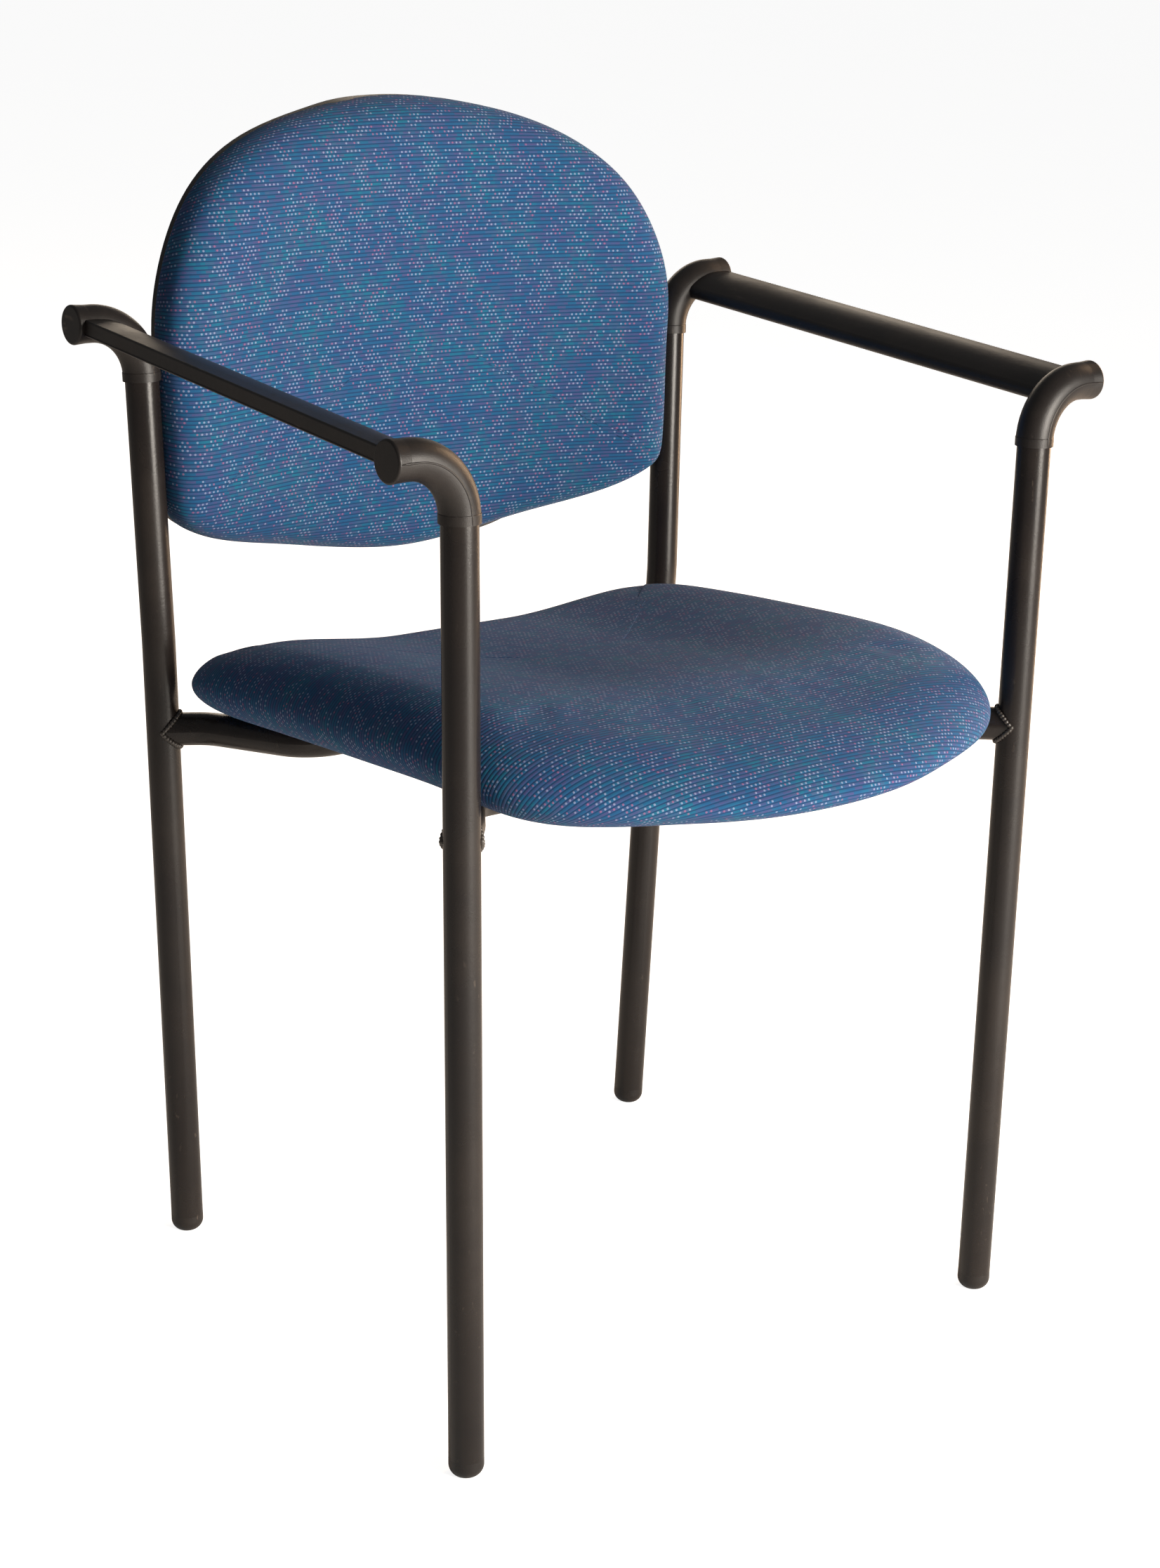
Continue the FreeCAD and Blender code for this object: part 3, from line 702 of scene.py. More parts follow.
class Dresser:
    """Gives pieces and CAD nodes their finish and body."""

    def __init__(self) -> None:
        """Builds every finish once."""
        effects = Effects()
        self.materials = {part: finish.build(effects) for part, finish in FINISHES.items()}

    def node(self, name: str, part: Part) -> None:
        """Finishes a CAD node that stays as it is."""
        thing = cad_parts[name]
        for place in thing.material_slots:
            place.material = self.materials[part]
        if not thing.material_slots:
            thing.data.materials.append(self.materials[part])
        LOG.info("node %s: %s", name, part.value)

    def piece(self, thing: bpy.types.Object, part: Part, *replaced: str) -> None:
        """Finishes a new piece, which rides on the chair and stands for the named nodes."""
        thing.data.materials.append(self.materials[part])
        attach(thing, BODY)
        if replaced:
            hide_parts(*replaced)
        LOG.info("piece %s: %d faces, %s", thing.name, len(thing.data.polygons), part.value)


# ------------------------------------------------------------------ padded forms
@dataclass
class PaddedForm:
    """Closed crowned cushion over an outline.

    The top is a grid on a disc, taken to the outline by radius; rings roll it over the border and
    under; a second grid closes it below. Thread coordinates follow the length of the cloth.
    """

    name: str
    outline: list[tuple[float, float]]
    centre: tuple[float, float]
    rings: list[tuple[float, float, float]]     # inset, share of the thickness, height added
    cells: int = 72
    reach: float = 0.8 * MM

    def thickness(self, x: Array, y: Array) -> Array:
        """Height of the padding above its base at a plan position."""
        raise NotImplementedError

    def base(self, x: Array, y: Array) -> Array:
        """Height of the base at a plan position."""
        raise NotImplementedError

    def placed(self, x: Array, y: Array, height: Array) -> Array:
        """Points of the chair for plan positions and heights."""
        raise NotImplementedError

    def edge(self, angle: Array) -> tuple[Array, Array]:
        """Outline and its outward direction at angles about the centre.

        Returns:
            Rows of x and y for the outline and for the direction.
        """
        half = np.array(self.outline)
        other = half[::-1][1:-1] * np.array([-1.0, 1.0])
        loop = closed_curve(np.vstack((half, other))[::-1], 1440) - np.array(self.centre)
        around = np.unwrap(np.arctan2(loop[:, 1], loop[:, 0]))
        order = np.argsort(around % (2.0 * math.pi))
        turns = (around % (2.0 * math.pi))[order]
        far = np.linalg.norm(loop, axis=1)[order]

        def at(a: Array) -> Array:
            r = np.interp(a % (2.0 * math.pi), turns, far, period=2.0 * math.pi)
            return r[:, None] * np.stack([np.cos(a), np.sin(a)], axis=1)

        ahead = at(angle + 0.02) - at(angle - 0.02)
        outward = unit(np.stack([ahead[:, 1], -ahead[:, 0]], axis=1))
        return at(angle) + np.array(self.centre), outward

    def sheet(self) -> tuple[Array, Array, Array, Array]:
        """Points, quads, thread coordinates and the numbers of the held points."""
        n = self.cells
        s, t = np.meshgrid(np.linspace(-1, 1, n), np.linspace(-1, 1, n), indexing="ij")
        dx, dy = s * np.sqrt(1 - t**2 / 2), t * np.sqrt(1 - s**2 / 2)
        far, angle = np.hypot(dx, dy).ravel(), np.arctan2(dy, dx).ravel()
        line, outward = self.edge(angle)
        centre = np.array(self.centre)
        number = np.arange(n * n).reshape(n, n)
        rim = np.concatenate((number[:-1, 0], number[-1, :-1], number[:0:-1, -1], number[0, :0:-1]))

        first_inset = self.rings[0][0]
        plan = centre + far[:, None] * (line - outward * first_inset - centre)
        top = self.placed(plan[:, 0], plan[:, 1], self.base(*plan.T) + self.thickness(*plan.T))
        threads = np.stack([plan[:, 0], self.cloth_length(plan[:, 1])], axis=1)

        points, maps, belts = [top], [threads], [rim]
        before, run = top[rim], np.zeros(len(rim))
        total = n * n
        for inset, share, lift in self.rings[1:]:
            ring = line[rim] - outward[rim] * inset
            height = self.base(*ring.T) + self.thickness(*ring.T) * share + lift
            placed = self.placed(ring[:, 0], ring[:, 1], height)
            run = run + np.linalg.norm(placed - before, axis=1)
            points.append(placed)
            maps.append(threads[rim] + outward[rim] * run[:, None])
            belts.append(total + np.arange(len(rim)))
            total += len(rim)
            before = placed
        last_inset, share, lift = self.rings[-1]
        under = centre + far[:, None] * (line - outward * last_inset - centre)
        height = self.base(*under.T) + self.thickness(*under.T) * share + lift
        low = self.placed(under[:, 0], under[:, 1], height)
        inner = np.setdiff1d(number.ravel(), rim)
        below = np.empty(n * n, int)
        below[rim] = belts[-1]
        below[inner] = total + np.arange(len(inner))
        points.append(low[inner])
        maps.append(under[inner])

        quads = [grid_quads(n, n)]
        for upper, lower in zip(belts, belts[1:]):
            quads.append(np.stack([upper, lower, np.roll(lower, -1), np.roll(upper, -1)], axis=1))
        quads.append(below[grid_quads(n, n)][:, ::-1])
        held = np.concatenate((np.concatenate(belts[-4:]), below[inner]))
        return np.vstack(points), np.vstack(quads), np.vstack(maps), np.unique(held)

    def cloth_length(self, y: Array) -> Array:
        """Length of cloth from the middle line to a plan position along Y.

        It is the integral of the root of one plus the square of the slope of the middle profile.
        """
        line = np.linspace(-0.3, 0.3, 601) + self.centre[1]
        zero = np.zeros_like(line)
        points = self.placed(zero, line, self.base(zero, line) + self.thickness(zero, line))
        length = np.concatenate(([0.0], np.cumsum(np.linalg.norm(np.diff(points, axis=0), axis=1))))
        return np.interp(y, line, length - length[300])

    def build(self) -> bpy.types.Object:
        """Makes the piece and lets its cloth settle under a little pressure."""
        points, quads, threads, held = self.sheet()
        piece = new_piece(self.name, points, quads)
        set_cloth_map(piece, threads)
        settle(piece, held, self.reach)
        smooth = piece.modifiers.new("smooth", "SUBSURF")
        smooth.levels = smooth.render_levels = 1
        return piece


def settle(piece: bpy.types.Object, held: Array, reach: float) -> None:
    """Inflates a closed cloth a little, and writes the result to its mesh.

    Each point moves by what the cloth gives, but by no more than reach.

    Args:
        piece: the closed piece.
        held: numbers of the points that are fastened.
        reach: longest move of a point.
    """
    scene = bpy.context.scene
    start = np.empty(len(piece.data.vertices) * 3, np.float32)
    piece.data.vertices.foreach_get("co", start)
    start = start.reshape(-1, 3)
    group = piece.vertex_groups.new(name="held")
    group.add(held.tolist(), 1.0, "REPLACE")
    cloth = piece.modifiers.new("settling", "CLOTH")
    settings = cloth.settings
    settings.quality = 5
    settings.mass = 0.4
    settings.tension_stiffness = settings.compression_stiffness = 60.0
    settings.shear_stiffness = 30.0
    settings.bending_stiffness = 10.0
    settings.vertex_group_mass = "held"
    settings.use_pressure = True
    settings.uniform_pressure_force = 4.0
    settings.effector_weights.gravity = 0.0
    cloth.collision_settings.use_collision = False
    cloth.point_cache.frame_start, cloth.point_cache.frame_end = 1, 20
    for step in range(1, 21):
        scene.frame_set(step)
    graph = bpy.context.evaluated_depsgraph_get()
    shaped = piece.evaluated_get(graph)
    mesh = shaped.to_mesh()
    end = np.empty_like(start).ravel()
    mesh.vertices.foreach_get("co", end)
    shaped.to_mesh_clear()
    move = end.reshape(-1, 3) - start
    length = np.linalg.norm(move, axis=1, keepdims=True)
    move *= reach * np.tanh(length / reach) / np.maximum(length, 1e-9)
    LOG.info("settled %s: mean %.2f mm, most %.2f mm", piece.name, 1e3 * length.mean(), 1e3 * length.max())
    piece.modifiers.remove(cloth)
    piece.vertex_groups.remove(group)
    piece.data.vertices.foreach_set("co", (start + move).astype(np.float32).ravel())
    piece.data.update()
    scene.frame_set(1)


@dataclass
class SeatCushion(PaddedForm):
    """Seat pad: bolsters along the sides, dished middle, waterfall front."""

    tilt: float = math.atan(SEAT_SLOPE)
    rail_height: float = RAIL_HEIGHT
    underside: float = TUBE_RADIUS
    nose_start: float = -100.0 * MM
    nose_end: float = -236.0 * MM
    nose_drop: float = 22.0 * MM
    nose_ease: float = 30.0 * MM
    half_width: float = 213.0 * MM
    side_line: tuple = (
        (-0.236, 0.0405), (-0.200, 0.0462), (-0.177, 0.0485), (-0.142, 0.0503), (-0.109, 0.0520),
        (-0.070, 0.0533), (0.000, 0.0533), (0.070, 0.0525), (0.140, 0.0492), (0.196, 0.0432),
    )
    middle_line: tuple = (
        (-0.236, 0.0355), (-0.200, 0.0415), (-0.170, 0.0455), (-0.144, 0.0475), (-0.110, 0.0480),
        (-0.070, 0.0465), (-0.020, 0.0437), (0.050, 0.0405), (0.120, 0.0385), (0.196, 0.0375),
    )

    def thickness(self, x: Array, y: Array) -> Array:
        """Middle line near X = 0, side line beyond four fifths of the half width, smooth between."""
        share = np.clip((np.abs(x) / self.half_width - 0.22) / 0.55, 0.0, 1.0)
        share = share * share * (3.0 - 2.0 * share)
        middle, side = smooth_table(self.middle_line, y), smooth_table(self.side_line, y)
        return middle + (side - middle) * share

    def base(self, x: Array, y: Array) -> Array:
        """Flat underside that slopes down at the nose, a little more at the corners.

        With d the distance in front of nose_start, the slope sets in as (d + sqrt(d^2 + k^2)) / 2.
        """
        ahead = self.nose_start - y
        forward = 0.5 * (ahead + np.sqrt(ahead**2 + self.nose_ease**2)) / (self.nose_start - self.nose_end)
        side = np.clip((np.abs(x) - 0.09) / 0.11, 0.0, 1.0)
        return self.underside - self.nose_drop * forward * (1.0 + 0.25 * side * side * (3.0 - 2.0 * side))

    def placed(self, x: Array, y: Array, height: Array) -> Array:
        """Turns the flat seat by its tilt about X and lifts it to the rails."""
        c, s = math.cos(self.tilt), math.sin(self.tilt)
        return np.stack([x, c * y + s * height + SHIFT_Y, -s * y + c * height + self.rail_height], axis=1)


@dataclass
class BackCushion(PaddedForm):
    """Back pad on a curved leaning shell; plan Y is the height on the chair."""

    rear_y: float = 229.0 * MM
    lean: float = 0.08
    sag: float = 37.0 * MM
    half_width: float = 208.6 * MM
    rim_depth: float = 11.0 * MM
    padding: float = 29.0 * MM

    def thickness(self, x: Array, y: Array) -> Array:
        """Padding of even thickness with a slight crown."""
        crown = 1.0 - (x / self.half_width) ** 2 - ((y - self.centre[1]) / 0.155) ** 2
        return self.padding + 2.0 * MM * np.clip(crown, -0.5, 1.0)

    def base(self, x: Array, y: Array) -> Array:
        """Front of the rim, above the rear face of the shell."""
        return np.full_like(x, self.rim_depth)

    def placed(self, x: Array, y: Array, height: Array) -> Array:
        """Rear face rear_y + lean (z - 0.6) + curve(x), less the height.

        curve(x) = sqrt(R^2 - x^2) - R + sag, with R = (half width^2 + sag^2) / (2 sag).
        """
        radius = (self.half_width**2 + self.sag**2) / (2.0 * self.sag)
        rear = self.rear_y + self.lean * (y - 0.6) + np.sqrt(radius**2 - x**2) - radius + self.sag
        return np.stack([x, rear - height + SHIFT_Y, y], axis=1)


def seat_outline(w: float = 0.213, front: float = -0.236, rear: float = 0.196) -> list[tuple[float, float]]:
    """Half plan of the seat from the middle of the rear edge to the middle of the front edge."""
    return [
        (0.0, rear), (0.40 * w, rear + 0.001), (0.78 * w, rear), (0.935 * w, rear - 0.008),
        (0.99 * w, rear - 0.033), (w, rear - 0.080), (w, rear - 0.190), (0.99 * w, front + 0.127),
        (0.955 * w, front + 0.088), (0.84 * w, front + 0.0545), (0.615 * w, front + 0.027),
        (0.32 * w, front + 0.007), (0.0, front),
    ]


def back_outline() -> list[tuple[float, float]]:
    """Half outline of the back from the middle of the top to the middle of the lower edge."""
    return [
        (0.0, 0.772), (0.0668, 0.765), (0.1252, 0.749), (0.1752, 0.716), (0.1992, 0.677),
        (0.2086, 0.640), (0.2086, 0.603), (0.2078, 0.5595), (0.2069, 0.5295), (0.2034, 0.5125),
        (0.1898, 0.501), (0.1106, 0.479), (0.0, 0.4615),
    ]


# rings of each cushion, from the top over the border: inset, share of the thickness, height added
SEAT_RINGS = [
    (0.044, 1.0, 0.0), (0.037, 0.985, 0.0), (0.030, 0.955, 0.0), (0.0235, 0.915, 0.0), (0.0175, 0.865, 0.0),
    (0.012, 0.80, 0.0), (0.0072, 0.725, 0.0), (0.0035, 0.645, 0.0), (0.001, 0.56, 0.0), (0.0, 0.475, 0.0),
    (0.0008, 0.39, 0.0), (0.003, 0.305, 0.0), (0.0068, 0.225, 0.0), (0.0115, 0.15, 0.0), (0.017, 0.09, 0.0),
    (0.0235, 0.04, 0.0), (0.030, 0.01, 0.0), (0.036, 0.0, 0.0004), (0.042, 0.0, 0.0008),
]
BACK_RINGS = [
    (0.034, 1.0, 0.0), (0.028, 0.985, 0.0), (0.022, 0.955, 0.0), (0.0165, 0.905, 0.0), (0.0115, 0.83, 0.0),
    (0.0073, 0.73, 0.0), (0.0040, 0.61, 0.0), (0.0018, 0.48, 0.0), (0.0006, 0.34, 0.0), (-0.0003, 0.2, 0.0),
    (-0.0007, 0.09, 0.0), (-0.0008, 0.0, 0.0), (-0.0008, 0.0, -0.0025), (-0.0007, 0.0, -0.0048),
    (0.0002, 0.0, -0.0058), (0.0018, 0.0, -0.0058), (0.006, 0.0, -0.005), (0.012, 0.0, -0.005),
    (0.018, 0.0, -0.005),
]


# ------------------------------------------------------------------ sub-assemblies
@dataclass
class Upholstery:
    """Seat and back: padded cushions, boards, lining and the moulded back shell."""

    dresser: Dresser

    def build(self) -> None:
        """Makes both cushions and finishes what lies behind them."""
        seat = SeatCushion("seat_pad", seat_outline(), (0.0, -0.012), SEAT_RINGS).build()
        self.dresser.piece(seat, Part.CLOTH, "seat_cushion")
        back = BackCushion("back_pad", back_outline(), (0.0, 0.622), BACK_RINGS, reach=1.2 * MM).build()
        self.dresser.piece(back, Part.CLOTH, "back_cushion")
        for where in ("seat", "back"):
            self.dresser.node(where + "_board", Part.BOARD)
            self.dresser.node(where + "_tee_nuts", Part.HARDWARE)
        self.dresser.node("seat_lining", Part.LINING)
        self.dresser.node("back_shell", Part.MOULDING)


@dataclass
class TubeFrame:
    """Legs, feet, rails, back tabs and the weld beads."""

    dresser: Dresser
    tube: float = TUBE_RADIUS
    bead: float = 1.7 * MM
    ripple: float = 0.24 * MM
    ripples: int = 40
    joints: list[tuple[Array, Array, tuple[float, float]]] = field(default_factory=lambda: [
        (FRONT_FOOT, FRONT_COLLAR, (0.204, -0.128)),
        (REAR_FOOT, REAR_KNEE, (0.190, 0.182)),
    ])

    def bead_at(self, foot: Array, above: Array, knee: tuple[float, float], side: Side) -> Faces:
        """Weld bead where a rail meets a leg.

        With q a point of the rail's circle and D and L the rail's and the leg's directions, the
        bead passes where q + t D lies one tube radius from the leg's axis: the larger root t of
        |D x L|^2 t^2 + 2 (q x L).(D x L) t + |q x L|^2 - r^2 = 0. Its radius swells and shrinks
        as a sine with a slow drift.
        """
        leg = unit(above - foot)
        end = foot + leg * (RAIL_HEIGHT - SEAT_SLOPE * foot[1]) / (leg[2] + SEAT_SLOPE * leg[1])
        target = np.array([knee[0], knee[1], RAIL_HEIGHT - SEAT_SLOPE * knee[1]])
        rail = unit(target - end)
        first = unit(np.cross(rail, leg))
        second = np.cross(rail, first)
        turn = np.linspace(0.0, 2.0 * math.pi, 260, endpoint=False)[:, None]
        out = np.cos(turn) * first + np.sin(turn) * second
        q = self.tube * out
        across, q_across = np.cross(rail, leg), np.cross(q, leg)
        a, b = across @ across, q_across @ across
        c = np.sum(q_across**2, axis=1) - self.tube**2
        t = (-b + np.sqrt(np.maximum(b * b - a * c, 0.0))) / a
        path = end + q + (t[:, None] + 0.0006) * rail + 0.0004 * out
        path[:, 1] += SHIFT_Y
        turn = turn[:, 0]
        wave = np.sin(self.ripples * turn) + 0.5 * np.sin(3.0 * turn + 1.0) + 0.3 * np.sin(7.0 * turn)
        return on_side(side, swept(path, self.bead + self.ripple * wave, 0.9, out, 12, True))

    def build(self) -> None:
        """Finishes the steel and makes the beads as one piece."""
        beads = [self.bead_at(*joint, side) for joint in self.joints for side in Side]
        piece = new_piece("weld_beads", *joined(beads))
        self.dresser.piece(piece, Part.WELD, "frame_welds")
        for side in ("left", "right"):
            for name in ("front_leg_", "rear_leg_", "back_tab_lower_", "back_tab_upper_"):
                self.dresser.node(name + side, Part.FRAME)
            for name in ("front_foot_cap_", "rear_foot_cap_"):
                self.dresser.node(name + side, Part.MOULDING)
        for name in ("front_bow_rail", "rear_bow_rail"):
            self.dresser.node(name, Part.FRAME)


@dataclass
class Arms:
    """Moulded arms with the raised seam that the mould leaves along them."""

    dresser: Dresser
    rise: float = 39.0 * MM
    reach: float = 49.0 * MM
    bend: float = 36.0 * MM
    radius: float = 12.2 * MM
    collar_radius: float = 12.5 * MM
    end_radius: float = 12.9 * MM
    seam: float = 0.42 * MM
    setback: float = 4.0 * MM
    bar_half: float = 5.25 * MM
    joints: list[tuple[Array, Array, float]] = field(default_factory=lambda: [
        (FRONT_COLLAR, FRONT_FOOT, -1.0),
        (REAR_COLLAR, REAR_KNEE, 1.0),
    ])

    def corner(self, collar: Array, below: Array) -> Array:
        """Where the leg's axis meets the outward axis of the elbow."""
        return collar + unit(collar - below) * self.rise

    def elbow_seam(self, collar: Array, below: Array, face: float) -> Faces:
        """Seam along the middle of an elbow's free side, from the collar to the flared end.

        The path is the elbow's axis moved out by its radius, square to the plane of the bend.
        """
        corner = self.corner(collar, below)
        end = corner + np.array([self.reach, 0.0, 0.0])
        arc = bend(collar, corner, end, self.bend, 40)
        stop = end - [0.0016, 0.0, 0.0]
        axis = np.vstack((collar, collar + (arc[0] - collar) * 0.5, arc, 0.5 * (arc[-1] + end), stop))
        out = unit(np.cross(unit(collar - below), np.array([1.0, 0.0, 0.0]))) * face
        run = np.concatenate(([0.0], np.cumsum(np.linalg.norm(np.diff(axis, axis=0), axis=1))))
        near_end = np.clip((run - run[-1] + 0.009) / 0.009, 0.0, 1.0)
        radius = self.radius + (self.end_radius - self.radius) * near_end
        radius = np.where(run < 0.006, self.collar_radius, radius) - 0.0001
        path = axis + radius[:, None] * out
        path[:, 1] += SHIFT_Y
        size = self.seam * np.clip(np.minimum(run, run[-1] - run) / 0.003 + 0.3, 0.3, 1.0)
        return swept(path, size, 1.5, np.repeat(out[None], len(path), axis=0), 8, False)

    def bar_seam(self) -> Faces:
        """Seam along the lower outer edge of the bar, from elbow to elbow."""
        (front, front_below, _), (rear, rear_below, _) = self.joints
        away = np.array([self.reach - self.setback, 0.0, -self.bar_half + 0.0012])
        start, stop = self.corner(front, front_below) + away, self.corner(rear, rear_below) + away
        along = np.linspace(0.03, 0.97, 90)[:, None]
        path = start + (stop - start) * along
        path[:, 1] += SHIFT_Y
        size = self.seam * (1.0 + 0.12 * np.sin(along[:, 0] * 70.0) * np.sin(along[:, 0] * 23.0))
        out = np.repeat(np.array([[1.0, 0.0, 0.0]]), len(path), axis=0)
        return swept(path, size, 1.3, out, 8, False)

    def build(self) -> None:
        """Finishes both arms and adds their seams."""
        for side in Side:
            name = side.name.lower()
            seams = [self.elbow_seam(*joint) for joint in self.joints] + [self.bar_seam()]
            piece = new_piece("arm_mould_seam_" + name, *on_side(side, joined(seams)))
            self.dresser.piece(piece, Part.MOULDING)
            self.dresser.node("arm_" + name, Part.MOULDING)


@dataclass
class Fasteners:
    """Round-headed screws with a cross recess, under the rails and behind the back."""

    dresser: Dresser
    head: float = 6.0 * MM
    head_height: float = 3.4 * MM
    shank: float = 3.0 * MM
    recess: float = 1.7 * MM
    face: float = 0.62           # flat middle of the head, as a share of its radius
    sides: int = 48
    seat_x: float = 105.0 * MM
    seat_y: tuple[float, float] = (-0.084, 0.104)       # crossings of the screws and the rails
    seat_depth: float = 11.9 * MM
    seat_length: float = 38.0 * MM
    back_x: float = 188.0 * MM
    back_heights: tuple[float, float] = (0.535, 0.575)
    back_length: float = 18.0 * MM
    tab: float = 3.5 * MM

    def screw(self, seat: Array, direction: Array, length: float) -> Faces:
        """Screw whose head starts at seat and whose shank runs along direction.

        The surface is a profile of radius and height turned about the axis. Near the middle of
        the head the height is lowered where |cos 2a| is large, which leaves a cross.

        Args:
            seat: centre of the head's underside.
            direction: unit direction of the shank.
            length: length of the shank.

        Returns:
            Points, quads and triangles.
        """
        r, h = self.head, self.head_height
        dome = np.linspace(0.0, 1.0, 9) * math.pi / 2
        face, shank = np.linspace(0.05, self.face, 8) * r, self.shank
        radius = np.concatenate((face, r * (0.66 + 0.34 * np.sin(dome)), [r, shank, shank, shank * 0.8]))
        tip = [0.0, 0.0, -length + 0.001, -length]
        height = np.concatenate((np.full(8, h), h * (0.42 + 0.58 * np.cos(dome)), tip))
        turn = np.linspace(0.0, 2.0 * math.pi, self.sides, endpoint=False)
        arm = np.clip((np.abs(np.cos(2.0 * turn)) - 0.80) / 0.15, 0.0, 1.0)[None, :]
        depth = arm * np.clip((0.56 * r - radius[:, None]) / (0.08 * r), 0.0, 1.0)
        depth = np.maximum(depth, np.clip((0.2 * r - radius[:, None]) / (0.05 * r), 0.0, 1.0))
        depth[radius > self.face * r] = 0.0
        depth[-4:] = 0.0
        lift = height[:, None] - self.recess * depth
        first = unit(np.cross(direction, np.array([0.3, 0.5, 0.8])))
        second = np.cross(direction, first)
        ring = np.cos(turn)[:, None] * first + np.sin(turn)[:, None] * second
        points = (seat + radius[:, None, None] * ring[None] - lift[:, :, None] * direction).reshape(-1, 3)
        quads = grid_quads(len(radius), self.sides, wrap_columns=True)[:, ::-1]
        ends = np.stack([seat - direction * (h - self.recess), seat + direction * length])
        return np.vstack((points, ends)), quads, end_fans(len(points), self.sides)

    def build(self) -> None:
        """Makes the screws of the seat and of the back."""
        seat = SeatCushion("", [], (0.0, 0.0), [])
        scale = math.sqrt(1.0 + SEAT_SLOPE**2)
        zero = np.zeros(1)
        up = seat.placed(zero, zero, np.ones(1))[0] - seat.placed(zero, zero, zero)[0]
        under = []
        for x in (-self.seat_x, self.seat_x):
            for y in self.seat_y:
                place = seat.placed(np.array([x]), np.array([y * scale]), np.array([-self.seat_depth]))[0]
                under.append(self.screw(place, up, self.seat_length))
        piece = new_piece("seat_fixing_screws", *joined(under))
        self.dresser.piece(piece, Part.HARDWARE, "seat_screws")
        back = BackCushion("", [], (0.0, 0.0), [])
        behind = []
        for x in (-self.back_x, self.back_x):
            middle = np.full(2, np.mean(self.back_heights))
            beside = back.placed(np.array([x - MM, x + MM]), middle, np.zeros(2))
            forward = unit(np.array([(beside[1, 1] - beside[0, 1]) / (2.0 * MM), -1.0, back.lean]))
            for z in self.back_heights:
                face = back.placed(np.array([x]), np.array([z]), np.zeros(1))[0]
                behind.append(self.screw(face - forward * self.tab, forward, self.back_length))
        piece = new_piece("back_fixing_screws", *joined(behind))
        self.dresser.piece(piece, Part.HARDWARE, "back_screws")


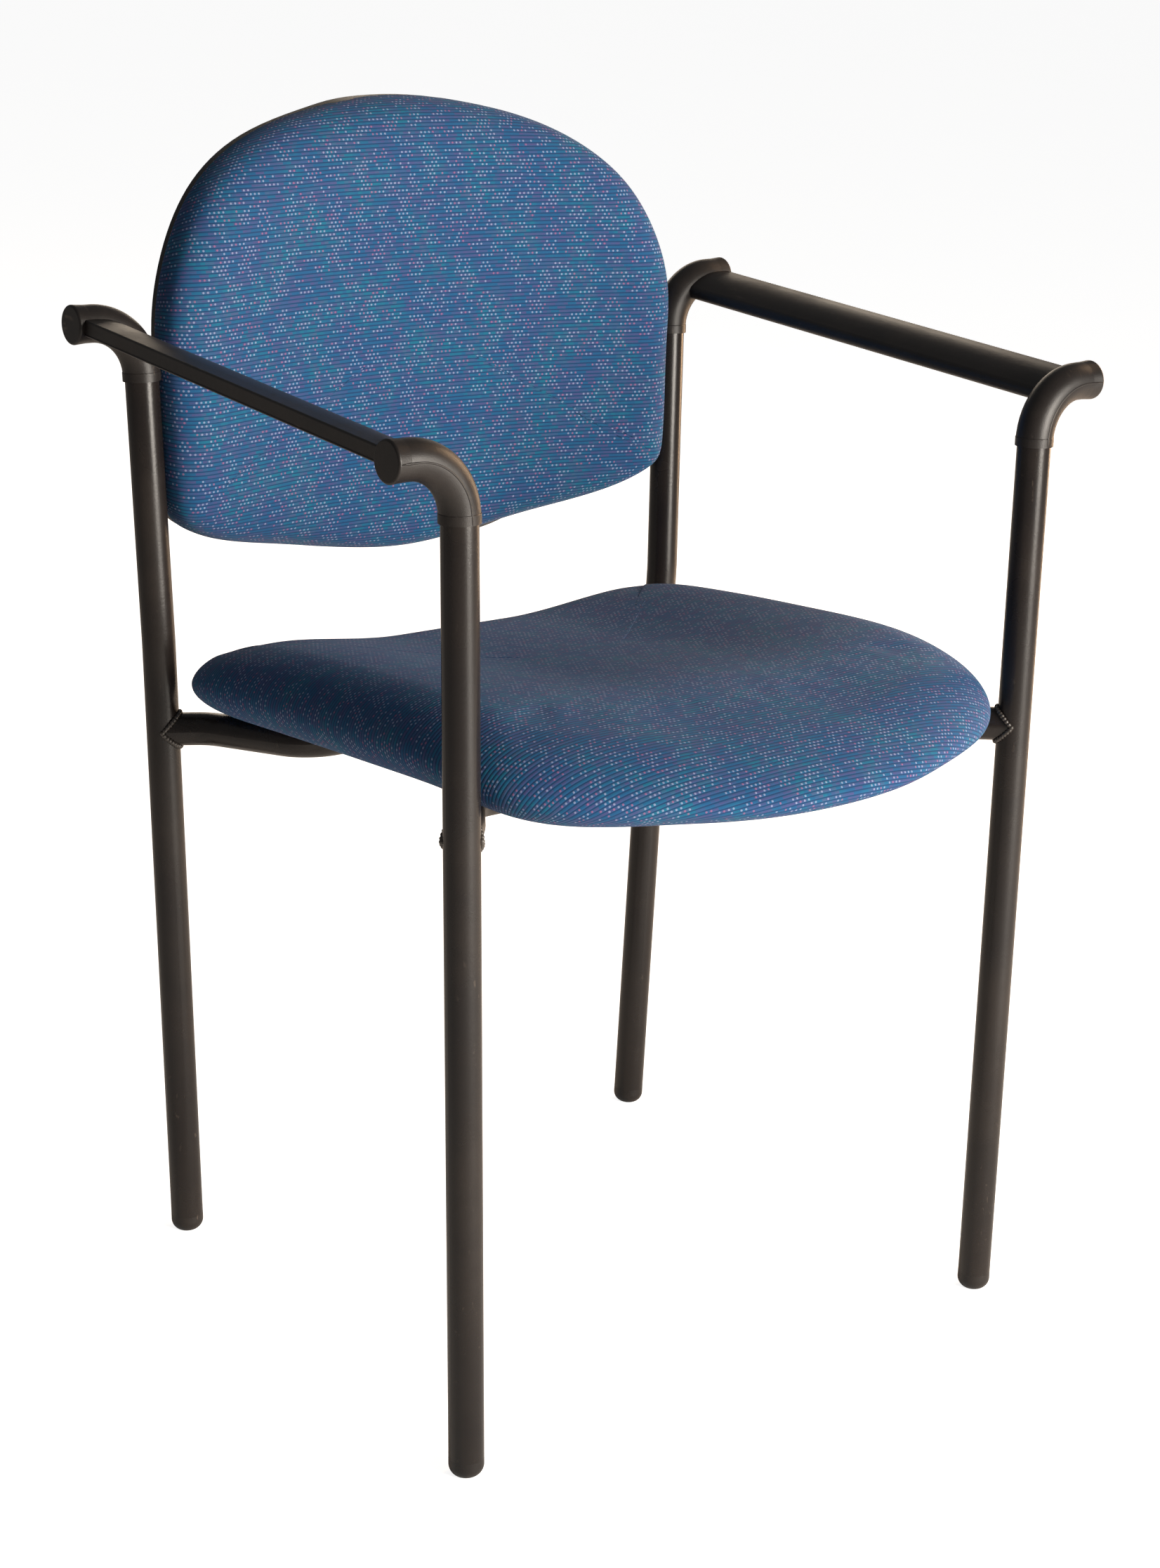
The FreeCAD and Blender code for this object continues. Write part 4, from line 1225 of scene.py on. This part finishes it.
# ------------------------------------------------------------------ studio
@dataclass
class Studio:
    """Pale floor, soft lights and the camera."""

    yaw: float = math.radians(-39.2354)
    pitch: float = math.radians(19.3567)
    roll: float = math.radians(3.5414)
    place: tuple[float, float, float] = (-1.18782, -1.45699, 1.00966)
    lens: float = 68.17
    floor_size: float = 30.0
    floor_glow: float = 0.92
    ambient: float = 0.13

    def camera(self) -> None:
        """Creates the camera from its yaw, pitch and roll."""
        a, e, r = self.yaw, self.pitch, self.roll
        back = Vector((math.sin(a) * math.cos(e), -math.cos(a) * math.cos(e), math.sin(e)))
        right = Vector((math.cos(a), math.sin(a), 0.0))
        up = back.cross(right)
        turned_right = right * math.cos(r) + up * math.sin(r)
        turned_up = up * math.cos(r) - right * math.sin(r)
        data = bpy.data.cameras.new("studio_camera")
        data.sensor_fit = "AUTO"
        data.sensor_width = 36.0
        data.lens = self.lens
        data.clip_end = 100.0
        camera = bpy.data.objects.new("studio_camera", data)
        axes = Matrix((turned_right, turned_up, back)).transposed().to_4x4()
        camera.matrix_world = Matrix.Translation(self.place) @ axes
        bpy.context.scene.collection.objects.link(camera)
        bpy.context.scene.camera = camera

    def lamp(self, name: str, place: tuple, size: tuple, power: float, colour: Colour) -> None:
        """Soft rectangular light that faces the middle of the chair."""
        data = bpy.data.lights.new(name, "AREA")
        data.shape = "RECTANGLE"
        data.size, data.size_y = size
        data.energy = power
        data.color = colour
        lamp = bpy.data.objects.new(name, data)
        lamp.location = place
        towards = Vector((0.0, 0.0, 0.45)) - Vector(place)
        lamp.rotation_euler = towards.to_track_quat("-Z", "Y").to_euler()
        bpy.context.scene.collection.objects.link(lamp)

    def build(self) -> None:
        """Makes the floor, the sky, the lights and the camera."""
        scene = bpy.context.scene
        line = np.linspace(-0.5, 0.5, 9) * self.floor_size
        x, y = (a.ravel() for a in np.meshgrid(line, line, indexing="ij"))
        floor = new_piece("studio_floor", np.stack([x, y, np.zeros_like(x)], axis=1), grid_quads(9, 9))
        material, nodes, shader = new_material("studio_paper")
        place = nodes.add("ShaderNodeTexCoord").outputs["Object"]
        tone = nodes.blend(nodes.noise(place, 3.0, 2.0), (0.90, 0.90, 0.90), (0.93, 0.93, 0.93))
        nodes.feed(shader.inputs["Base Color"], tone)
        nodes.feed(shader.inputs["Roughness"], 0.9)
        seen = nodes.add("ShaderNodeLightPath").outputs["Is Camera Ray"]
        nodes.feed(shader.inputs["Emission Color"], (0.9, 0.9, 0.9))
        nodes.feed(shader.inputs["Emission Strength"], nodes.math("MULTIPLY", seen, self.floor_glow))
        floor.data.materials.append(material)
        world = bpy.data.worlds.new("studio_sky")
        world.use_nodes = True
        sky = Nodes(world.node_tree)
        seen = sky.add("ShaderNodeLightPath").outputs["Is Camera Ray"]
        strength = sky.ramp(seen, 0.0, 1.0, (self.ambient, 1.0))
        background = sky.add("ShaderNodeBackground", {"Color": (1.0, 1.0, 1.0), "Strength": strength})
        sky.add("ShaderNodeOutputWorld", {"Surface": background.outputs[0]})
        scene.world = world
        self.lamp("key_light", (0.75, -2.7, 1.0), (1.2, 1.2), 132.0, (1.0, 0.93, 0.84))
        self.lamp("rim_light", (2.4, 0.2, 1.0), (0.8, 1.8), 42.0, (1.0, 0.66, 0.40))
        self.lamp("far_light", (1.6, 2.4, 1.1), (2.0, 0.8), 12.0, (1.0, 0.84, 0.66))
        scene.view_settings.view_transform = "Standard"
        scene.view_settings.look = "None"
        self.camera()


def main() -> None:
    """Builds the sub-assemblies in order and reports each piece."""
    logging.basicConfig(level=logging.INFO, format="%(message)s")
    dresser = Dresser()
    TubeFrame(dresser).build()
    Arms(dresser).build()
    Upholstery(dresser).build()
    Fasteners(dresser).build()
    Studio().build()


if __name__ == "__main__":
    main()
